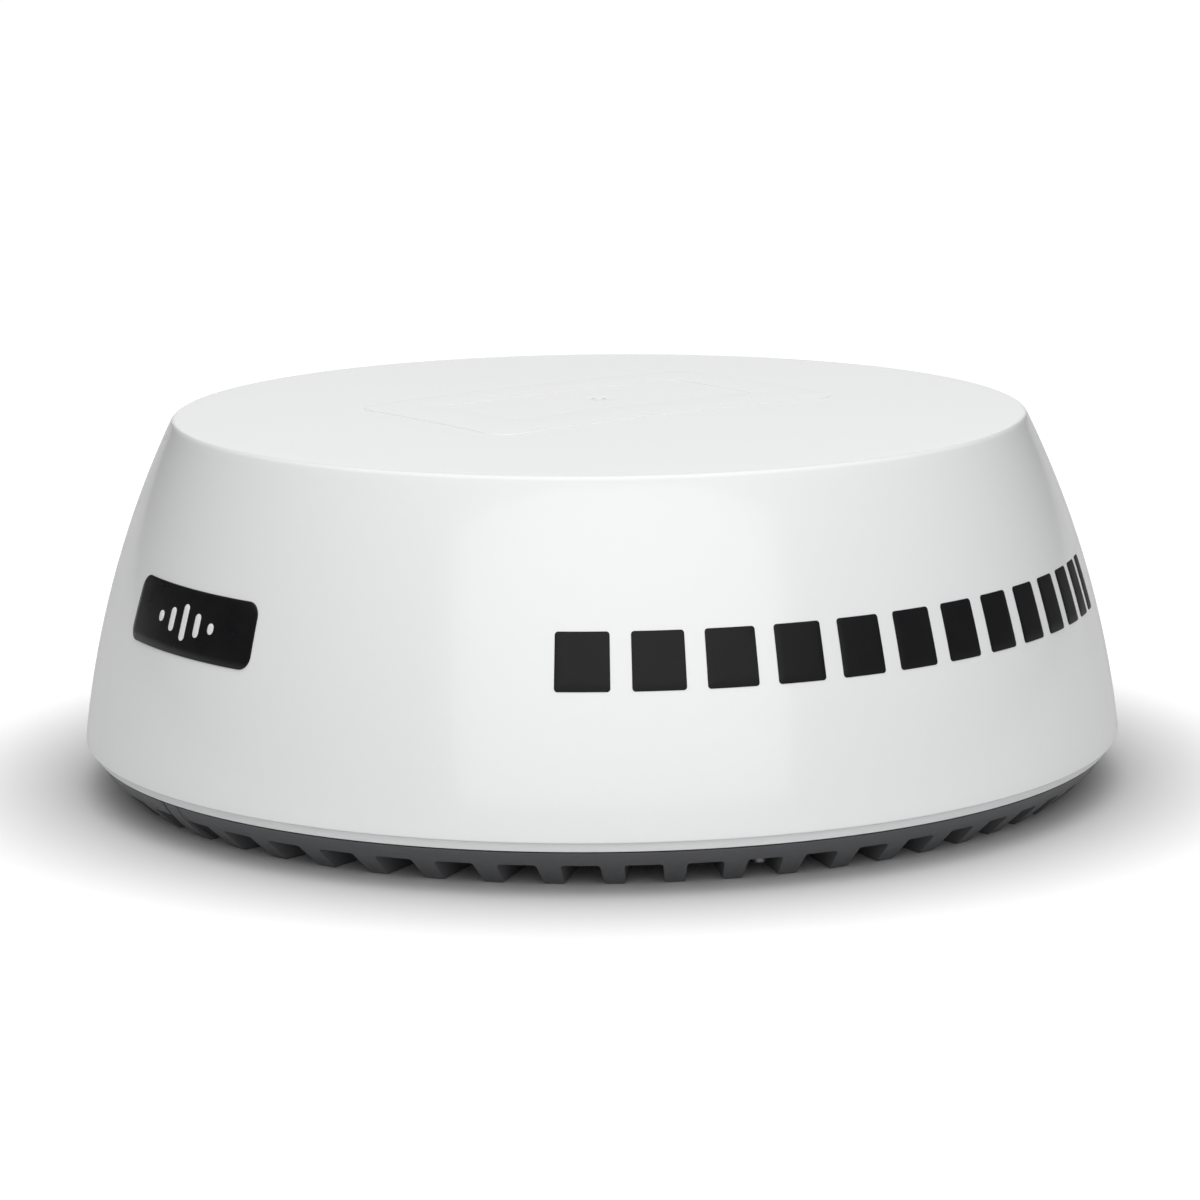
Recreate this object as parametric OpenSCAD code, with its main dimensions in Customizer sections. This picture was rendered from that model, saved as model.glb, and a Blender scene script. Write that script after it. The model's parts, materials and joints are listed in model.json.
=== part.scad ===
// Radar dome antenna: a turning antenna, its belt drive and its electronics
// on a ribbed cast base, under a radome.
// Millimetres, Z up. The origin is on the mounting surface, under the dome's axis. The bow is towards -Y.

/* [Radome] */
// Radius of the radome at its lower edge
dome_r = 308; // [304:1:312]
// Height of the radome's lower edge above the mounting surface
dome_edge_z = 29.3; // [28.8:0.1:30]
// Radius of the rim, where the wall meets the top
rim_r = 251.9; // [250:0.1:254]
// Height of the rim
rim_z = 217.9; // [216:0.1:219]
// Height of the middle of the crowned top
top_z = 224.5; // [222:0.1:228]
// Radius of the arc that the wall follows
wall_arc_r = 573; // [550:1:600]
// Thickness of the moulded shell
shell_t = 5; // [4:0.5:6]
// Rounding of the rim
rim_round = 4.5; // [3:0.5:6]
// Radius of the inset lip that stands on the base
lip_r = 303; // [302.5:0.1:304]

/* [Base] */
// Radius of the base's flange under the lip
flange_r = 302; // [301:0.1:302.4]
// Height of the flange's upper face
flange_z = 22.6; // [22:0.1:22.8]
// Height of the underside of the pan's floor, which is the top of the slots
slot_top_z = 14.2; // [13.5:0.1:15]
// Radius of the bowl where the ribs meet the mounting surface
rib_tip_r = 279.3; // [276:0.1:282]
// Radius of the arc that the bowl's outside follows
bowl_arc_r = 65; // [50:1:90]
// Number of ribs round the base
rib_count = 60; // [54:6:66]
// How far aft of the dome's axis the ribs' centre is
rib_centre_y = 45; // [40:1:50]
// Width of a rib
rib_w = 12; // [11:0.1:13]

/* [Mounting] */
// Distance between the mounting holes from side to side
mount_dx = 180; // [170:1:190]
// Distance between the mounting holes from bow to stern
mount_dy = 220; // [210:1:230]
// Diameter of the mounting thread's core
mount_core_d = 6.8; // [6.6:0.1:7]

/* [Antenna] */
// Length of the antenna tray
tray_len = 488; // [460:1:490]
// Height of the antenna tray
tray_h = 56; // [50:1:57]
// Depth of the antenna tray from front to back
tray_d = 30; // [26:1:30]

/* [Drive] */
// Radius of the driven pulley
driven_r = 70; // [66:1:72]
// Radius of the motor's pulley
motor_pulley_r = 14; // [12:1:15]
// Distance from the dome's axis to the motor's
motor_reach = 132; // [128:1:136]
// Radius of the idler roller
idler_r = 11; // [10:0.5:11]

/* [Hidden] */
$fn = 96;

// Gap round a piece that is pressed, bonded or screwed into its seat
fit = 0.05;
// Gap between pieces that move past each other
run = 0.35;
// A little more than nothing, so that a cut passes through a face
over = 1;

// ---- Outlines -------------------------------------------------------------

// Unit vector from a to b
function towards(a, b) = (b - a) / norm(b - a);

// Points of an arc round c, from angle a0 to a1
function arc(c, r, a0, a1, n) = [for (i = [0 : n]) let (a = a0 + (a1 - a0) * i / n) c + r * [cos(a), sin(a)]];

// Centre of the arc of radius r from p to q that bulges to the right of that way
function arc_centre(p, q, r) =
    let (d = q - p, across = [d.y, -d.x] / norm(d))
    (p + q) / 2 - across * sqrt(r * r - d * d / 4);

// Angle of point p seen from c
function bearing_of(c, p) = atan2(p.y - c.y, p.x - c.x);

// The arc of radius r from p to q that bulges to the right of that way
function arc_to(p, q, r, n) =
    let (c = arc_centre(p, q, r)) arc(c, r, bearing_of(c, p), bearing_of(c, q), n);

// Corner b of the line a-b-c, rounded to radius r
function corner(a, b, c, r, n = 6) =
    let (u = towards(b, a), v = towards(b, c), half = acos(u * v) / 2,
        m = b + towards([0, 0], u + v) * r / sin(half),
        a0 = bearing_of(m, b + u * r / tan(half)), a1 = bearing_of(m, b + v * r / tan(half)),
        turn = (a1 - a0 + 540) % 360 - 180)
    arc(m, r, a0, a0 + turn, n);

// The meeting point, on the right, of a circle with another whose centre is below it
function circles_meet(c1, r1, c2, r2) =
    let (d = norm(c2 - c1), u = towards(c1, c2), a = (r1 * r1 - r2 * r2 + d * d) / (2 * d))
    c1 + a * u + sqrt(r1 * r1 - a * a) * [-u.y, u.x];

// A list from its last item to its first
function reversed(list) = [for (i = [len(list) - 1 : -1 : 0]) list[i]];

// A rectangle w by h round the origin, with corners of radius r
module rounded_plate(w, h, r) {
    square([w - 2 * r, h], center = true);
    square([w, h - 2 * r], center = true);
    for (x = [-1, 1], y = [-1, 1]) translate([x * (w / 2 - r), y * (h / 2 - r)]) circle(r, $fn = 32);
}

// A block with rounded upright edges, standing on z
module rounded_block(w, d, h, r, z = 0) {
    translate([0, 0, z]) linear_extrude(h) rounded_plate(w, d, r);
}

// A block from the point low to the point high
module block(low, high) {
    translate(low) cube(high - low);
}

// A tube standing on z
module tube(r_out, r_in, h, z = 0) {
    translate([0, 0, z]) difference() {
        cylinder(r = r_out, h = h);
        translate([0, 0, -over]) cylinder(r = r_in, h = h + 2 * over);
    }
}

// A post standing on z
module post(r, h, z = 0) {
    translate([0, 0, z]) cylinder(r = r, h = h);
}

// A screw that points down, with its head's underside at z: a domed head with a socket
module screw(r, len, head_r, head_h, z = 0) {
    translate([0, 0, z - len]) cylinder(r = r, h = len + head_h / 2, $fn = 24);
    translate([0, 0, z]) difference() {
        cylinder(r = head_r, h = head_h, $fn = 32);
        translate([0, 0, head_h / 2]) cylinder(r = head_r * 0.5, h = head_h, $fn = 6);
    }
}

// A line with each corner cut off twice, so that it bends softly; its ends stay
function cut_corners(points) = concat([points[0]],
    [for (i = [1 : len(points) - 2], t = [0.3, -0.3])
        points[i] + abs(t) * (t > 0 ? points[i - 1] - points[i] : points[i + 1] - points[i])],
    [points[len(points) - 1]]);

// The direction of a line at its point i
function heading(points, i) =
    towards(points[max(i - 1, 0)], points[i == 0 ? 1 : min(i + 1, len(points) - 1)]);

// Point v slid along way on to the plane through p that heading t crosses
function slid(v, way, p, t) = v + way * ((p - v) * t) / (way * t);

// A round lead of radius r along the points, with soft bends
module lead(points, r, sides = 8) {
    path = cut_corners(cut_corners(points));
    last = len(path) - 1;
    t = towards(path[0], path[1]);
    side = towards([0, 0, 0], cross(t, abs(t.z) < 0.9 ? [0, 0, 1] : [1, 0, 0]));
    up = cross(side, t);
    start = [for (a = [0 : 360 / sides : 359]) path[0] + r * (cos(a) * side + sin(a) * up)];
    rings = [for (i = 0, ring = start; i <= last; i = i + 1,
        ring = i > last ? ring
            : [for (v = ring) slid(v, towards(path[i - 1], path[i]), path[i], heading(path, i))]) ring];
    polyhedron(
        [for (ring = rings) each ring],
        concat([[for (k = [sides - 1 : -1 : 0]) k]],
            [for (i = [0 : last - 1], k = [0 : sides - 1]) let (n = (k + 1) % sides)
                [i * sides + k, i * sides + n, (i + 1) * sides + n, (i + 1) * sides + k]],
            [[for (k = [0 : sides - 1]) last * sides + k]]));
}

// ---- Radome ---------------------------------------------------------------

lip_z = flange_z + 0.8;
lip_in_r = 289;
lip_top = [lip_r + 1.5, dome_edge_z - 1];
wall_steps = 16;
crown_steps = 10;
crown_rise = top_z - rim_z;
crown_arc_r = (rim_r * rim_r + crown_rise * crown_rise) / (2 * crown_rise);
crown_c = [0, top_z - crown_arc_r];
wall_c = arc_centre([dome_r, dome_edge_z], [rim_r, rim_z], wall_arc_r);
wall_a0 = bearing_of(wall_c, [dome_r, dome_edge_z]);
wall_a1 = bearing_of(wall_c, [rim_r, rim_z]);
crown_a0 = bearing_of(crown_c, [rim_r, rim_z]);

// The wall's outside from the edge up to the rim, and the top's from the rim to the axis, moved out by d
function wall_line(d) = arc(wall_c, wall_arc_r + d, wall_a0, wall_a1, wall_steps);
function crown_line(d) = arc(crown_c, crown_arc_r + d, crown_a0, 90, crown_steps);

// Radius of the wall's inside at height z
function wall_in_r(z) = wall_c.x + sqrt(pow(wall_arc_r - shell_t, 2) - pow(z - wall_c.y, 2));

function radome_outline() =
    let (wall = wall_line(0), crown = crown_line(0), foot = [wall_in_r(36), 36],
        meet = circles_meet(wall_c, wall_arc_r - shell_t, crown_c, crown_arc_r - shell_t),
        wall_in = arc(wall_c, wall_arc_r - shell_t, bearing_of(wall_c, foot), bearing_of(wall_c, meet),
            wall_steps),
        crown_in = arc(crown_c, crown_arc_r - shell_t, bearing_of(crown_c, meet), 90, crown_steps))
    concat(
        [[lip_in_r, lip_z]],
        corner([lip_in_r, lip_z], [lip_r, lip_z], lip_top, 0.8, 3),
        [lip_top],
        corner(lip_top, wall[0], wall[1], 0.9, 4),
        [for (i = [1 : wall_steps - 1]) wall[i]],
        corner(wall[wall_steps - 1], wall[wall_steps], crown[1], rim_round),
        [for (i = [1 : crown_steps]) crown[i]],
        reversed([for (i = [1 : crown_steps]) crown_in[i]]),
        reversed(wall_in),
        [[lip_in_r, lip_z + 4]]);

// Screws that hold the radome: each is in a slot, between two ribs
screw_count = 6;
screw_ring_r = 276;
screw_r = 2.5;
insert_r = 4.2;
boss_r = 7.5;
boss_top_z = lip_z + 20;

// Distance from the ribs' centre, along the bearing phi from the bow, to the circle of radius r
function rib_reach(phi, r) = rib_centre_y * cos(phi) + sqrt(r * r - pow(rib_centre_y * sin(phi), 2));

// Each screw's bearing from the bow round the dome's axis
function screw_bearing(k) =
    let (phi = 360 / screw_count * k + 180 / rib_count, reach = rib_reach(phi, screw_ring_r))
    atan2(reach * sin(phi), reach * cos(phi) - rib_centre_y);

// Turns and moves its children to each radome screw
module at_screws() {
    for (k = [0 : screw_count - 1]) rotate(screw_bearing(k)) translate([0, -screw_ring_r, 0]) children();
}

// A gusset from each screw boss to the wall, drawn with the boss at the origin and the wall towards -Y
module boss_gusset() {
    rotate([90, 0, -90]) linear_extrude(4, center = true)
        polygon([[0, lip_z], [22, lip_z], [23, boss_top_z + 16], [0, boss_top_z]]);
}

// The low relief on the top: a frame with a dimple in its middle
relief_h = 0.5;
relief_w = 150;
relief_d = 250;
relief_band = 38;

module top_relief() {
    intersection() {
        rotate_extrude() polygon(concat([for (i = [2 : crown_steps]) crown_line(-0.5)[i]],
            reversed([for (i = [2 : crown_steps]) crown_line(relief_h)[i]])));
        translate([0, 0, rim_z]) linear_extrude(2 * crown_rise) difference() {
            rounded_plate(relief_w, relief_d, 16);
            rounded_plate(relief_w - 2 * relief_band, relief_d - 2 * relief_band, 6);
        }
    }
}

module radome() {
    color("white") difference() {
        union() {
            rotate_extrude() polygon(radome_outline());
            top_relief();
            at_screws() {
                post(boss_r, boss_top_z - lip_z, lip_z);
                boss_gusset();
            }
        }
        at_screws() post(insert_r + fit, 14 + over, lip_z - over);
        translate([0, 0, top_z - 1]) cylinder(r = 4, h = 5);
    }
}

module radome_inserts() {
    color("goldenrod") at_screws() tube(insert_r, screw_r + 0.1, 13.5, lip_z + 0.4);
}

// ---- Markings -------------------------------------------------------------

badge_t = 0.7;
mark_t = 0.3;
badge_w = 124;
badge_h = 36.5;
badge_z = 125;
side_mark_z = 124;
side_mark_h = 31;
side_mark_from = 48.6;
side_mark_to = 131.4;
side_mark_count = 13;
side_mark_fill = 0.72;

// The layer from d0 to d1 outside the part of the wall that bears markings
module wall_layer(d0, d1) {
    marked = [5 : 11];
    inner = [for (i = marked) wall_line(d0)[i]];
    outer = [for (i = marked) wall_line(d1)[i]];
    rotate_extrude() polygon(concat(inner, reversed(outer)));
}

// A rounded plate that stands at height z, pushed out through the wall at a bearing from the bow
module outward(bearing, w, h, r, z, x = 0) {
    rotate([90, 0, bearing]) translate([x, z, rim_r]) linear_extrude(dome_r - rim_r) rounded_plate(w, h, r);
}

module bow_badge() {
    color("black") intersection() {
        wall_layer(0, badge_t);
        outward(0, badge_w, badge_h, 8, badge_z);
    }
}

// Five strokes of a radar pulse
module badge_marks() {
    stroke_h = [6, 13, 20, 13, 6];
    color("white") intersection() {
        wall_layer(badge_t, badge_t + mark_t);
        union() for (i = [0 : 4]) outward(0, 5, stroke_h[i], 2.4, badge_z, (i - 2) * 13);
    }
}

// Bars that narrow and close up from one end to the other, as a swept pulse does: where bar i's share begins
function bar_edge(i) =
    side_mark_from + (side_mark_to - side_mark_from) * (1 - pow(1 - i / side_mark_count, 1.3));

// The wall's outside round the side marks, from their lower edge to their upper edge, moved out by d
function mark_line(d) =
    let (low = asin((side_mark_z - side_mark_h / 2 - wall_c.y) / wall_arc_r),
        high = asin((side_mark_z + side_mark_h / 2 - wall_c.y) / wall_arc_r))
    arc(wall_c, wall_arc_r + d, low, high, 6);

module side_marks() {
    color("black") for (side = [0, 1], i = [0 : side_mark_count - 1]) mirror([side, 0, 0])
        rotate(bar_edge(i) - 90) rotate_extrude(angle = (bar_edge(i + 1) - bar_edge(i)) * side_mark_fill)
            polygon(concat(mark_line(0), reversed(mark_line(mark_t))));
}

// ---- Base -----------------------------------------------------------------

floor_z = slot_top_z + 4;
flange_in_r = 266;
foot_ring_r = 185;
foot_ring_t = 5;
seal_r0 = 291;
seal_r1 = 295;
strip_depth = 5;
strip_w = 12.5;
strip_gap = 2;
mount_boss_r = 14;
mount_insert_r = 6;
mount_insert_h = 19;
bay_w = 100;
bay_y0 = 150;
bay_y1 = 255;
bay_z = 44;
bay_t = 4;
socket_x = 21;
socket_z = 30;
window_w = 76;
window_h = 21;
vent_at = [-86, 80];
drain_at = [0, -104];
stud_at = [78, 46];

function bowl_line(d) = [for (p = arc_to([rib_tip_r, 0], [flange_r, flange_z], bowl_arc_r, 8)) p - [d, 0]];

module at_mounts() {
    for (x = [-1, 1], y = [-1, 1]) translate([x * mount_dx / 2, y * mount_dy / 2, 0]) children();
}

// The solid bowl with its shallow well
module bowl_solid() {
    rotate_extrude() polygon(concat(bowl_line(0),
        [[flange_in_r, flange_z], [flange_in_r, floor_z], [0, floor_z], [0, 0]]));
}

// A band of the bowl's outside, as deep as the bow strip
module bowl_band() {
    rotate_extrude() polygon(concat(bowl_line(0), reversed(bowl_line(strip_depth))));
}

// One slot between two ribs, seen from below: its sides are parallel to the ribs beside it
module slot_plan() {
    half = 180 / rib_count;
    along = [-sin(half), -cos(half)];
    across = [cos(half), -sin(half)];
    near = foot_ring_r * along + rib_w / 2 * across;
    far = (dome_r + rib_centre_y) * along + rib_w / 2 * across;
    polygon([near, far, [-far.x, far.y], [-near.x, near.y]]);
}

// What is open under the floor: the slots and the recess inside the foot ring
module open_under_floor() {
    translate([0, 0, -over]) linear_extrude(slot_top_z + over) {
        translate([0, rib_centre_y]) for (i = [0 : rib_count - 1])
            rotate(360 / rib_count * (i + 0.5)) slot_plan();
        difference() {
            translate([0, rib_centre_y]) circle(foot_ring_r - foot_ring_t);
            at_mounts() circle(mount_boss_r);
        }
    }
}

module base_pan() {
    color("gray") difference() {
        union() {
            difference() {
                bowl_solid();
                open_under_floor();
            }
            at_mounts() post(mount_boss_r, mount_insert_h + 5 - slot_top_z, slot_top_z);
            block([-bay_w / 2 - bay_t, bay_y0 - bay_t, slot_top_z],
                [bay_w / 2 + bay_t, bay_y1 + bay_t, bay_z + bay_t]);
        }
        block([-bay_w / 2, bay_y0, -over], [bay_w / 2, bay_y1, bay_z]);
        translate([0, bay_y0, socket_z]) rotate([90, 0, 0])
            linear_extrude(3 * bay_t, center = true) square([window_w, window_h], center = true);
        on_bay_wall() at_plate_screws() translate([0, 0, -2 * bay_t]) cylinder(r = 1.5 + fit, h = 3 * bay_t);
        at_mounts() post(mount_insert_r + fit, mount_insert_h + 1 + over, -over);
        at_screws() post(screw_r + run, flange_z + 2 * over, -over);
        tube(seal_r1, seal_r0, 3, flange_z - 2.4);
        intersection() {
            bowl_band();
            block([-strip_w / 2 - strip_gap, -dome_r, -over], [strip_w / 2 + strip_gap, 0, dome_edge_z]);
        }
        translate(vent_at) post(6 + fit, floor_z + over, -over);
        translate(drain_at) post(5 + fit, floor_z + over, -over);
        translate(stud_at) post(2.5 + fit, floor_z + over, -over);
    }
}

module bow_strip() {
    color("dimgray") intersection() {
        bowl_band();
        block([-strip_w / 2, -dome_r, 0], [strip_w / 2, 0, flange_z]);
    }
}

module radome_seal() {
    color("black") tube(seal_r1 - fit, seal_r0 + fit, lip_z - flange_z + 2.4, flange_z - 2.4);
}

module mount_inserts() {
    color("silver") at_mounts() tube(mount_insert_r, mount_core_d / 2, mount_insert_h);
}

// Captive screws that point up, through the flange, into the radome's inserts
module radome_screws() {
    color("dimgray") at_screws() translate([0, 0, slot_top_z - 1.2]) mirror([0, 0, 1])
        screw(screw_r, 23, 4.5, 5);
}

module screw_seals() {
    color("black") at_screws() tube(5.2, screw_r + fit, 1.2, slot_top_z - 1.2);
}

// ---- Underside fittings ---------------------------------------------------

plate_t = 2;

// Sockets and plate are drawn in the plane of the bay's wall: X to starboard, Y up, Z aft
module on_bay_wall() {
    translate([0, bay_y0, socket_z]) rotate([90, 0, 180]) children();
}

module at_plate_screws() {
    for (x = [-1, 1], y = [-1, 1]) translate([x * 42, y * 9, 0]) children();
}

module connector_plate() {
    color("silver") on_bay_wall() linear_extrude(plate_t) difference() {
        rounded_plate(94, 27, 3);
        for (x = [-1, 1]) translate([x * socket_x, 0]) circle(8.5 + fit);
        at_plate_screws() circle(1.5 + fit);
    }
}

module connector_screws() {
    color("silver") on_bay_wall() at_plate_screws() screw(1.5, 5, 2.8, 1.8, plate_t);
}

// A panel socket: body behind the plate, flange, threaded nose and contacts
module socket(nose_r, contacts) {
    translate([0, 0, -20]) cylinder(r = 8.5, h = 20 + plate_t);
    translate([0, 0, plate_t]) cylinder(r = 10.6, h = 2.5);
    tube(nose_r, nose_r - 1.8, 14, plate_t + 2.5);
    for (i = [0 : contacts - 1]) rotate(360 / contacts * i)
        translate([nose_r * 0.42, 0, plate_t]) cylinder(r = 0.8, h = 11, $fn = 16);
}

module power_socket() {
    color("black") on_bay_wall() translate([-socket_x, 0]) socket(9, 3);
}

module data_socket() {
    color("dimgray") on_bay_wall() translate([socket_x, 0]) socket(8, 6);
}

module breather_vent() {
    color("black") translate(vent_at) difference() {
        union() {
            post(10, 5, slot_top_z - 5);
            post(6, 9, slot_top_z);
        }
        for (a = [0 : 60 : 300]) rotate(a) translate([6, 0, slot_top_z - 6])
            cylinder(r = 1.4, h = 3, $fn = 16);
    }
}

module drain_plug() {
    color("black") translate(drain_at) {
        post(8, 3.5, slot_top_z - 3.5);
        post(5, 8, slot_top_z);
        block([-5, -1.2, slot_top_z - 5.5], [5, 1.2, slot_top_z - 3.5]);
    }
}

module earth_stud() {
    color("silver") translate(stud_at) {
        post(2.5, 20, 2);
        translate([0, 0, slot_top_z - 4]) cylinder(r = 4.6, h = 4, $fn = 6);
        translate([0, 0, floor_z]) cylinder(r = 4.6, h = 3, $fn = 6);
    }
}

// ---- Turntable ------------------------------------------------------------

shaft_r = 12.5;
shaft_bore_r = 7.5;
bearing_out_r = 26;
bearing_w = 15;
bearing_mid_r = 19.25;
ball_r = 3.1;
ball_count = 9;
race_in_r = 16;
race_out_r = 22.5;
lower_bearing_z = 30;
upper_bearing_z = 87;
housing_r = 34;
housing_foot_r = 62;
housing_top_z = upper_bearing_z + bearing_w + 2;
cover_z = housing_top_z + 2;
pulley_z = cover_z + 1;
pulley_h = 11;
hub_z = pulley_z + pulley_h + 1;
deck_z = hub_z + 6;

module at_bearings() {
    for (z = [lower_bearing_z, upper_bearing_z]) translate([0, 0, z]) children();
}

module at_housing_screws() {
    for (a = [20 : 90 : 290]) rotate(a) translate([52, 0, 0]) children();
}

module turntable_housing() {
    color("silver") difference() {
        union() {
            post(housing_foot_r, 7, floor_z);
            post(housing_r, housing_top_z - floor_z, floor_z);
            for (a = [45 : 90 : 315]) rotate([90, 0, a]) linear_extrude(5, center = true)
                polygon([[0, floor_z], [housing_foot_r - 4, floor_z], [housing_foot_r - 4, floor_z + 8],
                    [housing_r, floor_z + 56], [0, floor_z + 56]]);
        }
        post(bearing_out_r + fit, lower_bearing_z + bearing_w - floor_z + over, floor_z - over);
        post(23, 100, floor_z);
        post(bearing_out_r + fit, 30, upper_bearing_z);
        at_housing_screws() post(2.3, 20, floor_z - over);
        rotate(180) block([0, -4, floor_z - over], [housing_foot_r + 5, 4, floor_z + 8]);
    }
}

module ball_groove() {
    rotate_extrude() translate([bearing_mid_r, bearing_w / 2]) circle(ball_r + run, $fn = 48);
}

module bearing_outer_rings() {
    color("silver") at_bearings() difference() {
        tube(bearing_out_r, race_out_r, bearing_w);
        ball_groove();
    }
}

module bearing_inner_rings() {
    color("silver") at_bearings() difference() {
        tube(race_in_r, shaft_r + fit, bearing_w);
        ball_groove();
    }
}

// Both rows of balls, each in a cage that holds them apart
module bearing_balls() {
    color("goldenrod") at_bearings() {
        tube(bearing_mid_r + 1, bearing_mid_r - 1, 2, bearing_w / 2 - 1);
        for (i = [0 : ball_count - 1]) rotate(360 / ball_count * i)
            translate([bearing_mid_r, 0, bearing_w / 2]) sphere(ball_r, $fn = 32);
    }
}

module bearing_cover() {
    color("silver") tube(housing_r, race_in_r + 2, cover_z - housing_top_z, housing_top_z);
}

module at_flange_screws() {
    for (a = [0 : 90 : 270]) rotate(a) translate([19, 0, 0]) children();
}

module antenna_shaft() {
    color("silver") difference() {
        union() {
            post(shaft_r, deck_z - lower_bearing_z + 4, lower_bearing_z - 4);
            post(26, deck_z - hub_z, hub_z);
        }
        post(shaft_bore_r, 200, 0);
        at_flange_screws() post(2 + fit, 200, 0);
        tube(shaft_r + 5, shaft_r - 1, 1.3, lower_bearing_z - 1.4);
    }
}

module shaft_circlip() {
    color("dimgray") difference() {
        tube(shaft_r + 3, shaft_r - 0.9, 1.2, lower_bearing_z - 1.35);
        block([-2.5, 0, 0], [2.5, 40, lower_bearing_z + 5]);
    }
}

// A flanged pulley of radius r for the belt, on a shaft of radius bore_r
module pulley(r, bore_r) {
    difference() {
        union() {
            post(r, pulley_h, pulley_z);
            post(r + 3, 1, pulley_z);
            post(r + 3, 1, pulley_z + pulley_h - 1);
        }
        post(bore_r + fit, pulley_h + 2 * over, pulley_z - over);
    }
}

module driven_pulley() {
    web_z = pulley_z + 4;
    color("ivory") difference() {
        pulley(driven_r, shaft_r);
        tube(driven_r - 8, 20, 30, web_z + 3);
        tube(driven_r - 8, 20, 30, web_z - 30);
        for (a = [30 : 60 : 330]) rotate(a) translate([41, 0, 0]) post(12, 200, 0);
        translate([41, 0, 0]) post(3 + fit, 200, 0);
    }
}

module encoder_magnet() {
    color("dimgray") translate([41, 0, 0]) post(3, 5, pulley_z + 3);
}

// The board that senses the magnet, on an arm from the housing
module sensor_board() {
    color("green") {
        block([housing_r + fit, -6, 88], [housing_r + 18, 6, 90]);
        block([housing_r + 1, -9, 90], [housing_r + 19, 9, 91.6]);
        block([39, -3, 91.6], [43, 3, 94]);
    }
}

// ---- Drive ----------------------------------------------------------------

motor_w = 57;
motor_face_z = 98;
motor_len = 58;
motor_shaft_r = 3.2;
deck_t = 4;
belt_t = 1.6;
belt_h = 8;
belt_z = pulley_z + (pulley_h - belt_h) / 2;
bracket_x0 = -44;
bracket_x1 = 68;
bracket_y0 = -motor_reach - 40;
bracket_y1 = -motor_reach + 44;
leg_t = 4;

// The belt's straight run leaves both pulleys at this angle to the sideways axis
belt_angle = asin((driven_r - motor_pulley_r) / motor_reach);
belt_out = [cos(belt_angle), -sin(belt_angle)];
idler_along = 0.5;
idler_at = (1 - idler_along) * driven_r * belt_out
    + idler_along * ([0, -motor_reach] + motor_pulley_r * belt_out)
    + (idler_r + belt_t + 2 * run) * belt_out;

module at_motor() {
    translate([0, -motor_reach, 0]) children();
}

// The belt's outline, gap d outside the pulleys
function belt_line(d) = concat(
    arc([0, 0], driven_r + d, -belt_angle, 180 + belt_angle, 48),
    arc([0, -motor_reach], motor_pulley_r + d, 180 + belt_angle, 360 - belt_angle, 24));

module drive_belt() {
    color("black") translate([0, 0, belt_z]) linear_extrude(belt_h) difference() {
        polygon(belt_line(run + belt_t));
        polygon(belt_line(run));
    }
}

module at_motor_screws() {
    for (x = [-1, 1], y = [-1, 1]) translate([x * 23.6, y * 23.6, 0]) children();
}

// Screws in the bracket's feet
module at_bracket_screws() {
    for (x = [bracket_x0 - 1.5 * leg_t, bracket_x1 + 1.5 * leg_t], y = [bracket_y0 + 12, bracket_y1 - 12])
        translate([x, y, 0]) children();
}

module motor_body() {
    color("dimgray") at_motor() difference() {
        union() {
            rounded_block(motor_w, motor_w, 12, 5, motor_face_z - 12);
            rounded_block(motor_w - 2, motor_w - 2, motor_len - 24, 9, motor_face_z - motor_len + 12);
            rounded_block(motor_w, motor_w, 12, 5, motor_face_z - motor_len);
            post(19, 1.6, motor_face_z);
            block([-9, motor_w / 2 - 2, motor_face_z - motor_len],
                [9, motor_w / 2 + 5, motor_face_z - motor_len + 9]);
        }
        post(motor_shaft_r + run, 30, motor_face_z - 12);
        at_motor_screws() post(2, 9, motor_face_z - 8);
    }
}

module motor_shaft() {
    color("silver") at_motor() post(motor_shaft_r, hub_z + 1 - (motor_face_z - 11), motor_face_z - 11);
}

module motor_pulley() {
    color("silver") at_motor() pulley(motor_pulley_r, motor_shaft_r);
}

module motor_bracket() {
    color("silver") difference() {
        union() {
            block([bracket_x0, bracket_y0, motor_face_z], [bracket_x1, bracket_y1, motor_face_z + deck_t]);
            for (x = [bracket_x0, bracket_x1 - leg_t])
                block([x, bracket_y0, floor_z], [x + leg_t, bracket_y1, motor_face_z + over]);
            for (x = [bracket_x0 - 14, bracket_x1 - leg_t])
                block([x, bracket_y0, floor_z], [x + 14 + leg_t, bracket_y1, floor_z + leg_t]);
        }
        at_motor() post(19 + fit, 30, motor_face_z - over);
        at_motor() at_motor_screws() post(2.3, 30, motor_face_z - over);
        translate(idler_at) post(4 + fit, 30, motor_face_z - over);
        at_bracket_screws() post(2.3, 20, floor_z - over);
        at_mounts() post(mount_boss_r + over, mount_insert_h, floor_z - over);
        for (x = [bracket_x0, bracket_x1]) translate([x, (bracket_y0 + bracket_y1) / 2, 58])
            rotate([0, 90, 0]) cylinder(r = 18, h = 3 * leg_t, center = true);
    }
}

module motor_screws() {
    color("silver") at_motor() at_motor_screws() screw(1.9, 11, 3.5, 2.6, motor_face_z + deck_t);
}

module idler_post() {
    color("silver") translate(idler_at) {
        post(4, 24, motor_face_z - 2);
        post(7, 2, motor_face_z + deck_t);
        post(6.5, 1.6, motor_face_z + 21.4);
        translate([0, 0, motor_face_z - 4]) cylinder(r = 7, h = 3.9, $fn = 6);
    }
}

module idler_roller() {
    color("ivory") translate(idler_at) difference() {
        tube(idler_r, 4 + 0.1, pulley_h, pulley_z + 0.4);
        translate([0, 0, pulley_z + 3]) tube(idler_r - 2.5, 6.5, pulley_h);
    }
}

// ---- Antenna --------------------------------------------------------------

tray_y = -12;
tray_z = deck_z + 6;
tray_t = 2.5;
window_t = 3;
board_t = 1.6;
deck_w = 140;
deck_aft_y = 46;
joint_r = 5.5;
rotor_r = 7;

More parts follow.
